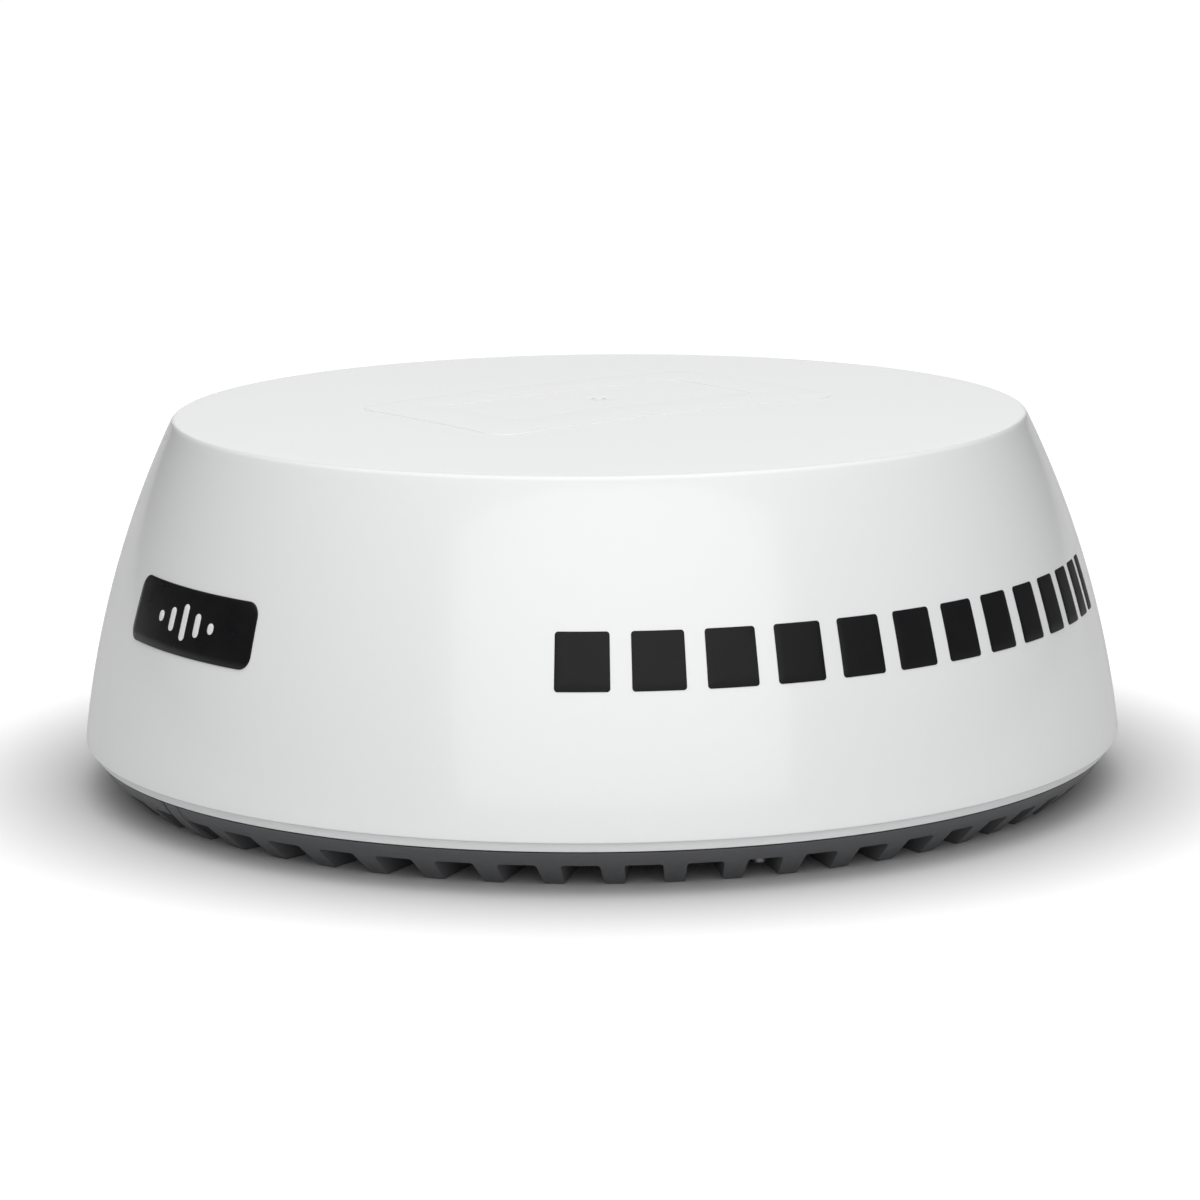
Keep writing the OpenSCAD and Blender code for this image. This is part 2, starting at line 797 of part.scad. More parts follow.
// Screws through the tray's back into the bracket
module at_tray_screws(y) {
    for (x = [-54, 54], z = [16, 42]) translate([x, y, deck_z + z]) rotate([-90, 0, 0]) children();
}

module antenna_bracket() {
    color("silver") difference() {
        union() {
            block([-deck_w / 2, tray_y - tray_d, deck_z], [deck_w / 2, deck_aft_y, deck_z + 4]);
            block([-deck_w / 2, tray_y, deck_z], [deck_w / 2, tray_y + 3, deck_z + 50]);
        }
        post(rotor_r + fit, 200, 0);
        at_flange_screws() post(2.3, 10, deck_z - over);
        at_tray_screws(tray_y) cylinder(r = 2.3, h = 20, center = true);
        translate([0, tray_y, deck_z + 30]) rotate([90, 0, 0]) cylinder(r = 7, h = 20, center = true);
    }
}

module antenna_tray() {
    color("silver") difference() {
        block([-tray_len / 2, tray_y - tray_d, tray_z], [tray_len / 2, tray_y, tray_z + tray_h]);
        block([-tray_len, tray_y - tray_d - over, tray_z + tray_t],
            [tray_len, tray_y - tray_t, tray_z + tray_h - tray_t]);
        at_tray_screws(tray_y) cylinder(r = 1.9, h = 20, center = true);
        translate([0, tray_y, deck_z + 30]) rotate([90, 0, 0]) cylinder(r = 6, h = 20, center = true);
    }
}

module array_board() {
    color("green") block([-tray_len / 2 + 2, tray_y - tray_d / 2 - board_t, tray_z + tray_t],
        [tray_len / 2 - 2, tray_y - tray_d / 2, tray_z + tray_h - tray_t]);
}

module array_window() {
    color("white") block([-tray_len / 2, tray_y - tray_d, tray_z + tray_t],
        [tray_len / 2, tray_y - tray_d + window_t, tray_z + tray_h - tray_t]);
}

module end_caps() {
    color("dimgray") for (side = [0, 1]) mirror([side, 0, 0]) {
        translate([tray_len / 2, tray_y - tray_d / 2, tray_z + tray_h / 2]) rotate([90, 0, 90])
            linear_extrude(3) rounded_plate(tray_d, tray_h, 4);
    }
}

module counterweight() {
    color("dimgray") block([-32, deck_aft_y - 14, deck_z + 4], [32, deck_aft_y, deck_z + 20]);
}

module antenna_screws() {
    color("silver") {
        at_flange_screws() screw(2, 8, 3.8, 1.8, deck_z + 4);
        at_tray_screws(tray_y + 3) screw(1.8, 6, 3.6, 2.4);
    }
}

module rotary_joint_stator() {
    color("goldenrod") {
        tube(joint_r, 2.5, deck_z + 8 - floor_z, floor_z);
        tube(16, joint_r - 0.5, 4, floor_z);
    }
}

module rotary_joint_rotor() {
    color("silver") difference() {
        union() {
            post(rotor_r, 18, deck_z + 1);
            post(rotor_r + 1.6, 3, deck_z + 4);
        }
        post(joint_r + 0.1, 9, deck_z);
    }
}

module feed_line() {
    color("goldenrod")
        lead([[0, 0, deck_z + 19], [0, 0, deck_z + 30], [0, tray_y - tray_d / 2, deck_z + 30]], 1.8);
}

// ---- Radio and electronics ------------------------------------------------

case_x0 = -222;
case_x1 = -82;
case_y = 56;
case_h = 46;
case_t = 3;
case_boss = 8;
lug = 12;
case_mid = (case_x0 + case_x1) / 2;

module at_case_corners(inset) {
    for (x = [case_x0 + inset, case_x1 - inset], y = [-case_y + inset, case_y - inset])
        translate([x, y, 0]) children();
}

module at_case_lugs() {
    for (x = [-50, 50], y = [-1, 1]) translate([case_mid + x, y * (case_y + lug / 2), 0]) children();
}

module transceiver_case() {
    color("silver") difference() {
        union() {
            difference() {
                block([case_x0, -case_y, floor_z], [case_x1, case_y, floor_z + case_h]);
                block([case_x0 + case_t, -case_y + case_t, floor_z + case_t],
                    [case_x1 - case_t, case_y - case_t, floor_z + case_h + over]);
            }
            at_case_corners(case_boss) post(case_boss - case_t + over, case_h - case_t, floor_z + case_t);
            for (y = [-1, 1]) block([case_mid - 60, min(y * case_y, y * (case_y + lug)), floor_z],
                [case_mid + 60, max(y * case_y, y * (case_y + lug)), floor_z + 4]);
        }
        at_case_lugs() post(2.3, 20, floor_z - over);
        at_case_corners(case_boss) post(1.5 + fit, case_h, floor_z + case_h - 10);
        translate([case_x1, 0, floor_z + 14]) rotate([0, 90, 0]) cylinder(r = 3, h = 20, center = true);
    }
}

module transceiver_lid() {
    color("silver") {
        difference() {
            block([case_x0, -case_y, floor_z + case_h], [case_x1, case_y, floor_z + case_h + 2.5]);
            at_case_corners(case_boss) post(1.8, 300, 0);
        }
        for (i = [-4 : 4]) block([case_x0 + 16, i * 10 - 1.5, floor_z + case_h + 2],
            [case_x1 - 16, i * 10 + 1.5, floor_z + case_h + 10]);
    }
}

module lid_screws() {
    color("silver") at_case_corners(case_boss) screw(1.5, 8, 2.9, 1.8, floor_z + case_h + 2.5);
}

module transceiver_board() {
    color("green") {
        difference() {
            block([case_x0 + 6, -case_y + 6, floor_z + 8], [case_x1 - 6, case_y - 6, floor_z + 9.6]);
            at_case_corners(case_boss) post(case_boss, 20, floor_z);
        }
        block([case_mid - 36, -30, floor_z + 9.6], [case_mid + 4, 20, floor_z + 18]);
        block([case_mid + 22, -14, floor_z + 9.6], [case_mid + 50, 34, floor_z + 22]);
    }
}

board_z = floor_z + 8;
board_x0 = 84;
board_x1 = 214;
power_y0 = -72;
power_y1 = 12;
proc_y0 = 24;
proc_y1 = 92;

// Turns and moves its children to the corners of both boards
module at_boards() {
    for (x = [board_x0 + 6, board_x1 - 6], y = [power_y0 + 6, power_y1 - 6, proc_y0 + 6, proc_y1 - 6])
        translate([x, y, 0]) children();
}

// A circuit board from y0 to y1 with a screw hole in each corner
module circuit_board(y0, y1) {
    difference() {
        block([board_x0, y0, board_z], [board_x1, y1, board_z + board_t]);
        for (x = [board_x0 + 6, board_x1 - 6], y = [y0 + 6, y1 - 6]) translate([x, y, 0]) post(2.3, 200, 0);
    }
}

module power_board() {
    color("green") circuit_board(power_y0, power_y1);
}

module processor_board() {
    color("green") circuit_board(proc_y0, proc_y1);
}

module power_components() {
    top = board_z + board_t;
    color("dimgray") {
        for (i = [0 : 3]) translate([board_x0 + 24 + i * 20, power_y0 + 18, 0]) post(8, 24, top);
        translate([board_x0 + 34, power_y1 - 26, 0]) tube(16, 7, 14, top);
        block([board_x1 - 40, power_y0 + 14, top], [board_x1 - 14, power_y1 - 20, top + 18]);
        block([board_x0 + 60, power_y1 - 14, top], [board_x0 + 88, power_y1 - 5, top + 9]);
    }
}

module shield_cans() {
    top = board_z + board_t;
    color("silver") {
        block([board_x0 + 14, proc_y0 + 16, top], [board_x0 + 62, proc_y1 - 16, top + 7]);
        block([board_x0 + 70, proc_y0 + 22, top], [board_x1 - 16, proc_y1 - 14, top + 5]);
    }
}

module board_standoffs() {
    color("goldenrod") at_boards() difference() {
        translate([0, 0, floor_z]) cylinder(r = 4, h = board_z - floor_z, $fn = 6);
        post(2, 200, floor_z + 2);
    }
}

// Screws that hold the boards, the case, the housing and the motor's bracket
module chassis_screws() {
    color("silver") {
        at_boards() screw(1.9, 6, 3.5, 2.4, board_z + board_t);
        at_case_lugs() screw(2, 3.9, 3.6, 2.4, floor_z + 4);
        at_housing_screws() screw(2, 6.9, 3.6, 2.4, floor_z + 7);
        at_bracket_screws() screw(2, 3.9, 3.6, 2.4, floor_z + leg_t);
    }
}

// The coaxial line from the radio, in under the housing, to the rotary joint's foot
module coax_lead() {
    high = floor_z + 14;
    low = floor_z + 3;
    color("goldenrod")
        lead([[case_x1 - 2, 0, high], [-76, 0, high], [-69, 0, low], [-60, 0, low], [-16.2, 0, low]], 1.8);
}

// Leads from the sockets and the motor to the boards
module harness_leads() {
    low = floor_z + 3.2;
    top = board_z + board_t;
    socket_y = bay_y0 - 20.2;
    motor_y = -motor_reach + motor_w / 2 + 5.2;
    motor_z = motor_face_z - motor_len + 4;
    color("black") {
        lead([[socket_x, socket_y, socket_z], [socket_x, 112, socket_z], [72, 112, low + 4],
            [72, -20, low + 4], [board_x0 - 3, -20, top + 5], [board_x0 + 14, -20, top + 5]], 3);
        lead([[-socket_x, socket_y, socket_z], [-socket_x, 122, socket_z], [-socket_x, 114, socket_z + 10],
            [30, 110, socket_z + 14],
            [board_x0 + 20, 100, top + 10], [board_x0 + 20, proc_y1 - 6, top + 4]], 2.6);
        lead([[0, motor_y, motor_z], [0, motor_y + 6, motor_z], [6, -82, low], [60, -80, low],
            [board_x0 + 30, -78, top + 4], [board_x0 + 30, power_y0 + 4, top + 2.8]], 2.2);
    }
}

radome();
bow_badge();
badge_marks();
side_marks();
radome_inserts();
base_pan();
bow_strip();
radome_seal();
mount_inserts();
radome_screws();
screw_seals();
connector_plate();
connector_screws();
power_socket();
data_socket();
breather_vent();
drain_plug();
earth_stud();
turntable_housing();
bearing_outer_rings();
bearing_balls();
bearing_cover();
antenna_shaft();
bearing_inner_rings();
shaft_circlip();
driven_pulley();
encoder_magnet();
sensor_board();
motor_body();
motor_bracket();
motor_screws();
motor_shaft();
motor_pulley();
idler_post();
idler_roller();
drive_belt();
antenna_bracket();
antenna_tray();
array_board();
array_window();
end_caps();
counterweight();
antenna_screws();
rotary_joint_stator();
rotary_joint_rotor();
feed_line();
coax_lead();
transceiver_case();
transceiver_lid();
lid_screws();
transceiver_board();
power_board();
power_components();
processor_board();
shield_cans();
board_standoffs();
harness_leads();
chassis_screws();
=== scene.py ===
# %% [markdown]
# # A radar dome antenna
# A radar dome is a turning antenna under a smooth plastic cover. The imported CAD model gives every place and size
# here, and this script dresses it: it models the shell, the markings and the ribbed base again with soft edges,
# gives most other pieces rounded edges, and gives every piece a material.

# %% The frame
import bpy
import bmesh
import json
import math
from mathutils import Matrix, Vector

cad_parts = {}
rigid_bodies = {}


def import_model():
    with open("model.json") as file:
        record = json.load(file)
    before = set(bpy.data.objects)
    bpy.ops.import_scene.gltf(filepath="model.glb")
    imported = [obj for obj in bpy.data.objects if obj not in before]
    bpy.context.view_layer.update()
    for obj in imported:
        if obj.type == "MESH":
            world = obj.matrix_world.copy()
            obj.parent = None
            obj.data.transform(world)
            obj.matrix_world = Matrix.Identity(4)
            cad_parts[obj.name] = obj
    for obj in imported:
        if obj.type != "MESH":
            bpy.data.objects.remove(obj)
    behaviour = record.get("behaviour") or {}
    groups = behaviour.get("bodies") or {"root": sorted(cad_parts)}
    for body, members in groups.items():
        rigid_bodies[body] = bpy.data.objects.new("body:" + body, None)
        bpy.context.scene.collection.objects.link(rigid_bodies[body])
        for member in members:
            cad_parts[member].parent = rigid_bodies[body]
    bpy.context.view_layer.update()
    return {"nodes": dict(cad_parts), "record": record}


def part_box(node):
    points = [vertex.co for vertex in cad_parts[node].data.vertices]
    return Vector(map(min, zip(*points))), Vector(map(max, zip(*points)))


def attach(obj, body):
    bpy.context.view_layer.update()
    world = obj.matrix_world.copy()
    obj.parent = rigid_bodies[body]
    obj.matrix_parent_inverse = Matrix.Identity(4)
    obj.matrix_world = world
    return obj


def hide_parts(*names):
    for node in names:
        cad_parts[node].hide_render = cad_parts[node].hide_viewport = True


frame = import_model()
nodes = frame["nodes"]
MM = 0.001

# %% [markdown]
# ## The camera
# A product view of a large round object is taken from far away with a long lens, so that the circle stays
# calm and the near side doesn't swell. The camera stands on the starboard bow, a little above the dome.

# %% The camera
CAMERA_BEARING = math.radians(53.6)
CAMERA_REACH = 2.5638
CAMERA_HEIGHT = 0.5883
CAMERA_SIDE = -0.0005
CAMERA_TILT = math.radians(10.721)
CAMERA_ROLL = math.radians(-0.581)
LENS = 131.0
SENSOR = 36.0


def place_camera():
    """A camera that looks at the dome's axis from its bearing, tilted down and rolled a little."""
    data = bpy.data.cameras.new("camera")
    data.lens, data.sensor_width = LENS, SENSOR
    data.clip_start, data.clip_end = 0.05, 60.0
    camera = bpy.data.objects.new("camera", data)
    bpy.context.scene.collection.objects.link(camera)
    turn = Matrix.Rotation(CAMERA_BEARING, 4, "Z")
    tilt = Matrix.Rotation(math.pi / 2 - CAMERA_TILT, 4, "X")
    place = Matrix.Translation((CAMERA_SIDE, -CAMERA_REACH, CAMERA_HEIGHT))
    camera.matrix_world = turn @ place @ tilt @ Matrix.Rotation(CAMERA_ROLL, 4, "Z")
    bpy.context.scene.camera = camera


place_camera()

# %% [markdown]
# ## The studio
# White gloss shows its shape only by what it reflects. The air is bright overhead and dim at the horizon, a soft
# panel in front lights the wall, and a wide one behind is there for the crown, which is seen so flat that it
# mirrors whatever stands behind it. The dim horizon gives the grey sides that make the shell look round. The
# floor is dim paper with a painted glow that only the camera sees: none near the dome and full further out, so the
# floor looks white while the shadow by the dome stays dark.


# %% Floor and lights
def make_material(name):
    """A node material with its tree and its shader."""
    material = bpy.data.materials.new(name)
    material.use_nodes = True
    return material, material.node_tree, material.node_tree.nodes["Principled BSDF"]


def make_floor(size, albedo, painted_glow, near, far):
    """Paper with a painted glow that only the camera sees, rising from nothing at one radius to its full value at
    another.
    """
    mesh = bpy.data.meshes.new("floor")
    corners = [(-size, -size, 0), (size, -size, 0), (size, size, 0), (-size, size, 0)]
    mesh.from_pydata(corners, [], [(0, 1, 2, 3)])
    floor = bpy.data.objects.new("floor", mesh)
    bpy.context.scene.collection.objects.link(floor)
    material, tree, shader = make_material("floor_painted_glow")
    shader.inputs["Base Color"].default_value = (albedo, albedo, albedo, 1)
    shader.inputs["Roughness"].default_value = 0.9
    shader.inputs["Specular IOR Level"].default_value = 0.1
    shader.inputs["Emission Color"].default_value = (1, 1, 1, 1)
    # The glow is painted light: emission that only camera rays see, so it lights nothing and fades out near the
    # dome.
    place, seen = tree.nodes.new("ShaderNodeTexCoord"), tree.nodes.new("ShaderNodeLightPath")
    reach, ramp = tree.nodes.new("ShaderNodeVectorMath"), tree.nodes.new("ShaderNodeMapRange")
    reach.operation, ramp.interpolation_type = "LENGTH", "SMOOTHSTEP"
    only = tree.nodes.new("ShaderNodeMath")
    only.operation = "MULTIPLY"
    for socket, value in (("From Min", near), ("From Max", far), ("To Min", 0.0), ("To Max", painted_glow)):
        ramp.inputs[socket].default_value = value
    tree.links.new(place.outputs["Object"], reach.inputs[0])
    tree.links.new(reach.outputs["Value"], ramp.inputs["Value"])
    tree.links.new(ramp.outputs["Result"], only.inputs[0])
    tree.links.new(seen.outputs["Is Camera Ray"], only.inputs[1])
    tree.links.new(only.outputs[0], shader.inputs["Emission Strength"])
    mesh.materials.append(material)


def add_panel(name, bearing, reach, height, size, power, aim=(0, 0, 0.1)):
    """A rectangular light at a bearing from the bow, aimed at a point. Size is (width, height)."""
    data = bpy.data.lights.new(name, "AREA")
    data.shape, data.size, data.size_y = "RECTANGLE", size[0], size[1]
    data.energy = power
    lamp = bpy.data.objects.new(name, data)
    bpy.context.scene.collection.objects.link(lamp)
    angle = math.radians(bearing)
    lamp.location = (reach * math.sin(angle), -reach * math.cos(angle), height)
    lamp.rotation_mode = "QUATERNION"
    lamp.rotation_quaternion = (Vector(aim) - lamp.location).to_track_quat("-Z", "Y")
    lamp.visible_camera = False


def light_room(horizon, zenith, focus):
    """Air that is dim at the horizon and bright overhead, as under one very large soft box."""
    world = bpy.data.worlds.new("studio")
    world.use_nodes = True
    tree = world.node_tree
    background = tree.nodes["Background"]
    direction = tree.nodes.new("ShaderNodeTexCoord")
    height = tree.nodes.new("ShaderNodeSeparateXYZ")
    tree.links.new(direction.outputs["Generated"], height.inputs[0])
    steps = [("MAXIMUM", 0.0), ("POWER", focus), ("MULTIPLY", zenith), ("ADD", horizon)]
    value = height.outputs["Z"]
    for operation, number in steps:
        step = tree.nodes.new("ShaderNodeMath")
        step.operation = operation
        step.inputs[1].default_value = number
        tree.links.new(value, step.inputs[0])
        value = step.outputs[0]
    tree.links.new(value, background.inputs["Strength"])
    background.inputs["Color"].default_value = (1, 1, 1, 1)
    bpy.context.scene.world = world
    bpy.context.scene.view_settings.view_transform = "Standard"


# Dim paper with a painted glow that is off within 0.29 m of the axis and full beyond 0.45 m.
make_floor(14.0, 0.60, 0.52, 0.29, 0.45)
light_room(0.03, 2.0, 3.0)
add_panel("front", 58, 2.6, 1.15, (4.0, 2.0), 42)
add_panel("backdrop", 233.6, 3.2, 0.95, (2.4, 1.7), 10)
print("panels:", len(bpy.data.lights))

# %% [markdown]
# ## Tools for node trees
# Both geometry and materials are made with node trees here. A tree is easier to read when a node is one line:
# its kind, what feeds it and its settings. A feed is either a plain value or another node's socket.


# %% Building trees
def add(tree, kind, feeds=None, **settings):
    """Adds a node, sets its settings and fills or links its inputs."""
    made = tree.nodes.new(kind)
    for key, value in settings.items():
        setattr(made, key, value)
    for key, value in (feeds or {}).items():
        if isinstance(value, bpy.types.NodeSocket):
            tree.links.new(value, made.inputs[key])
        else:
            made.inputs[key].default_value = value
    return made


def calc(tree, operation, a, b=0.0):
    """The result of a Math node."""
    return add(tree, "ShaderNodeMath", {0: a, 1: b}, operation=operation).outputs[0]


def shape_tree(name, sizes):
    """An empty geometry tree with a geometry, a material and the named sizes as inputs."""
    tree = bpy.data.node_groups.new(name, "GeometryNodeTree")
    tree.interface.new_socket("Geometry", in_out="OUTPUT", socket_type="NodeSocketGeometry")
    tree.interface.new_socket("Geometry", in_out="INPUT", socket_type="NodeSocketGeometry")
    tree.interface.new_socket("Material", in_out="INPUT", socket_type="NodeSocketMaterial")
    for size in sizes:
        tree.interface.new_socket(size, in_out="INPUT", socket_type="NodeSocketFloat")
    return tree, add(tree, "NodeGroupInput")


def end_tree(tree, given, geometry, merge=0.00001):
    """Ends a tree: instances become mesh, doubles merge, faces turn smooth and take the material."""
    real = add(tree, "GeometryNodeRealizeInstances", {"Geometry": geometry})
    merged = add(tree, "GeometryNodeMergeByDistance", {"Geometry": real.outputs[0], "Distance": merge})
    smooth = add(tree, "GeometryNodeSetShadeSmooth", {"Geometry": merged.outputs[0]})
    painted = add(tree, "GeometryNodeSetMaterial",
                  {"Geometry": smooth.outputs[0], "Material": given.outputs["Material"]})
    add(tree, "NodeGroupOutput", {"Geometry": painted.outputs[0]})


def circle_point(tree, radius, angle, height):
    """The point at a bearing from the bow: bow is -Y and starboard is +X."""
    x = calc(tree, "MULTIPLY", radius, calc(tree, "SINE", angle))
    y = calc(tree, "MULTIPLY", radius, calc(tree, "MULTIPLY", calc(tree, "COSINE", angle), -1.0))
    return add(tree, "ShaderNodeCombineXYZ", {"X": x, "Y": y, "Z": height}).outputs[0]


# %% [markdown]
# ## Tools for pieces
# A finished piece is a plain mesh at the origin. Its modifiers are evaluated here and then dropped, its normals
# point outwards, and edges sharper than a given angle stay crisp while the rest shades smoothly.


# %% Making pieces
SMOOTH_BELOW = math.radians(38)


def evaluated_mesh(mesh, add_modifiers):
    """A mesh after the modifiers that add_modifiers puts on it."""
    maker = bpy.data.objects.new("maker", mesh)
    bpy.context.scene.collection.objects.link(maker)
    add_modifiers(maker)
    made = bpy.data.meshes.new_from_object(maker.evaluated_get(bpy.context.evaluated_depsgraph_get()))
    bpy.data.objects.remove(maker)
    return made


def grown(mesh, tree, material, **sizes):
    """The mesh that a geometry tree makes out of another, with its inputs set by their identifiers."""
    def add_tree(maker):
        modifier = maker.modifiers.new("shape", "NODES")
        modifier.node_group = tree
        values = {"Material": material, **sizes}
        for item in tree.interface.items_tree:
            if item.in_out == "INPUT" and item.name in values:
                modifier[item.identifier] = values[item.name]
    return evaluated_mesh(mesh, add_tree)


def bevelled(mesh, width, segments=2, above=30):
    """A mesh whose edges sharper than an angle are rounded."""
    def add_bevel(maker):
        bevel = maker.modifiers.new("bevel", "BEVEL")
        bevel.width, bevel.segments = width, segments
        bevel.limit_method, bevel.angle_limit = "ANGLE", math.radians(above)
        bevel.miter_outer = "MITER_ARC"
    return evaluated_mesh(mesh, add_bevel)


def combined(mesh, cutters, operation="DIFFERENCE"):
    """A mesh with other meshes cut away from it or joined to it."""
    def add_cuts(maker):
        for cutter in cutters:
            tool = bpy.data.objects.new("tool", cutter)
            bpy.context.scene.collection.objects.link(tool)
            cut = maker.modifiers.new("cut", "BOOLEAN")
            cut.object, cut.operation, cut.solver = tool, operation, "EXACT"
    made = evaluated_mesh(mesh, add_cuts)
    for tool in [o for o in bpy.data.objects if o.name.startswith("tool")]:
        bpy.data.objects.remove(tool)
    return made


def volume_of(mesh):
    form = bmesh.new()
    form.from_mesh(mesh)
    size = form.calc_volume(signed=True)
    form.free()
    return size


def add_piece(name, mesh, body, slot, *replaced):
    """Makes a mesh a finished piece that rides on a body, takes a slot and stands for CAD nodes."""
    if volume_of(mesh) < 0:
        mesh.flip_normals()
    mesh.shade_smooth()
    mesh.set_sharp_from_angle(angle=SMOOTH_BELOW)
    mesh.materials.clear()
    mesh.materials.append(finishes[slot])
    piece = bpy.data.objects.new(name, mesh)
    bpy.context.scene.collection.objects.link(piece)
    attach(piece, body)
    if replaced:
        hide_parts(*replaced)
    return piece


def joined(meshes):
    """One mesh out of several."""
    form = bmesh.new()
    for mesh in meshes:
        form.from_mesh(mesh)
    made = bpy.data.meshes.new("joined")
    form.to_mesh(made)
    form.free()
    return made


# %% [markdown]
# ## Tools for outlines
# Turned and moulded parts are drawn as outlines first. These few functions make arcs and rounded corners, in
# metres, in a plane whose first axis is the radius and whose second is the height.


# %% Arcs and corners
def arc(centre, radius, start, end, steps):
    """Points of an arc, with its angles in radians."""
    angles = [start + (end - start) * i / steps for i in range(steps + 1)]
    return [centre + radius * Vector((math.cos(a), math.sin(a))) for a in angles]


def arc_centre(p, q, radius):
    """Centre of the arc from p to q that bulges to the right of that way."""
    d = q - p
    across = Vector((d.y, -d.x)).normalized()
    return (p + q) / 2 - across * math.sqrt(radius ** 2 - d.length_squared / 4)


def bearing_of(centre, p):
    return math.atan2(p.y - centre.y, p.x - centre.x)


def rounded(a, b, c, radius, steps=6):
    """Corner b of the line a-b-c, rounded."""
    u, v = (a - b).normalized(), (c - b).normalized()
    half = math.acos(max(-1, min(1, u.dot(v)))) / 2
    middle = b + (u + v).normalized() * radius / math.sin(half)
    start, end = (bearing_of(middle, b + w * radius / math.tan(half)) for w in (u, v))
    turn = (end - start + math.pi) % (2 * math.pi) - math.pi
    return arc(middle, radius, start, start + turn, steps)


def rounded_rectangle(width, height, radius, corner_steps=8, side_steps=1):
    """Points round a rectangle with rounded corners, centred on the origin."""
    points = []
    for quarter, (sx, sy) in enumerate([(1, 1), (-1, 1), (-1, -1), (1, -1)]):
        centre = Vector((sx * (width / 2 - radius), sy * (height / 2 - radius)))
        start = quarter * math.pi / 2
        points += arc(centre, radius, start, start + math.pi / 2, corner_steps)
        following = points[-1]
        step = Vector((-(width - 2 * radius), 0)) if quarter % 2 == 0 else Vector((0, -(height - 2 * radius)))
        if quarter >= 2:
            step = -step
        points += [following + step * i / side_steps for i in range(1, side_steps)]
    return points

# %% [markdown]
# ## Shared effects
# Real surfaces are never one even tone. Three small effects serve every finish here: *tone* drifts a colour
# between two near values, *grain* raises a fine bump, and *streaks* stretches that grain along one axis as
# brushing and turning do. Each is a node group, so a finish only says how strong and how fine it wants it.


# %% Effect groups
def effect_group(name, inputs, outputs):
    """An empty shader node group with its inputs, given as (name, kind, default), and its outputs."""
    tree = bpy.data.node_groups.new(name, "ShaderNodeTree")
    for label, kind, default in inputs:
        socket = tree.interface.new_socket(label, in_out="INPUT", socket_type="NodeSocket" + kind)
        if default is not None:
            socket.default_value = default
    for label, kind in outputs:
        tree.interface.new_socket(label, in_out="OUTPUT", socket_type="NodeSocket" + kind)
    return tree, add(tree, "NodeGroupInput"), add(tree, "NodeGroupOutput")


def place(tree):
    return add(tree, "ShaderNodeTexCoord").outputs["Object"]


def noise(tree, where, scale, detail=3.0):
    return add(tree, "ShaderNodeTexNoise", {"Vector": where, "Scale": scale, "Detail": detail}).outputs["Fac"]


def make_tone_group():
    tree, given, out = effect_group(
        "tone", [("Color A", "Color", (1, 1, 1, 1)), ("Color B", "Color", (1, 1, 1, 1)),
                 ("Scale", "Float", 20.0), ("Low", "Float", 0.4), ("High", "Float", 0.5)],
        [("Color", "Color"), ("Roughness", "Float")])
    drift = noise(tree, place(tree), given.outputs["Scale"], 4.0)
    mixed = add(tree, "ShaderNodeMix", {"Factor": drift, 6: given.outputs["Color A"], 7: given.outputs["Color B"]},
                data_type="RGBA")
    spread = add(tree, "ShaderNodeMapRange", {"Value": drift, "From Min": 0.3, "From Max": 0.7,
                 "To Min": given.outputs["Low"], "To Max": given.outputs["High"]})
    tree.links.new(mixed.outputs[2], out.inputs["Color"])
    tree.links.new(spread.outputs[0], out.inputs["Roughness"])
    return tree


def make_grain_group():
    tree, given, out = effect_group(
        "grain", [("Scale", "Float", 900.0), ("Strength", "Float", 0.1), ("Depth", "Float", 0.0002)],
        [("Normal", "Vector")])
    bump = add(tree, "ShaderNodeBump", {"Height": noise(tree, place(tree), given.outputs["Scale"], 3.0),
               "Strength": given.outputs["Strength"], "Distance": given.outputs["Depth"]})
    tree.links.new(bump.outputs["Normal"], out.inputs["Normal"])
    return tree


def make_streaks_group():
    tree, given, out = effect_group(
        "streaks", [("Stretch", "Vector", (0.02, 1, 1)), ("Scale", "Float", 900.0), ("Strength", "Float", 0.2)],
        [("Normal", "Vector")])
    stretched = add(tree, "ShaderNodeVectorMath", {0: place(tree), 1: given.outputs["Stretch"]},
                    operation="MULTIPLY").outputs[0]
    lines = noise(tree, stretched, given.outputs["Scale"], 4.0)
    bump = add(tree, "ShaderNodeBump", {"Height": lines, "Strength": given.outputs["Strength"], "Distance": 0.0001})
    tree.links.new(bump.outputs["Normal"], out.inputs["Normal"])
    return tree


TONE, GRAIN, STREAKS = make_tone_group(), make_grain_group(), make_streaks_group()
print("effects:", TONE.name, GRAIN.name, STREAKS.name)

# %% [markdown]
# ## Finishes
# Each material slot of the record gets a finish. A plain finish is a drifting colour, a drifting roughness and a
# grain; metal adds streaks; the radome has one even tone, a fine grain and a clear coat, as a gel coat has; boards
# and sleeves get patterns of their own.

# %% Plain and metal finishes
finishes = {}


def shade(color, factor):
    return (*[min(1.0, c * factor) for c in color], 1)


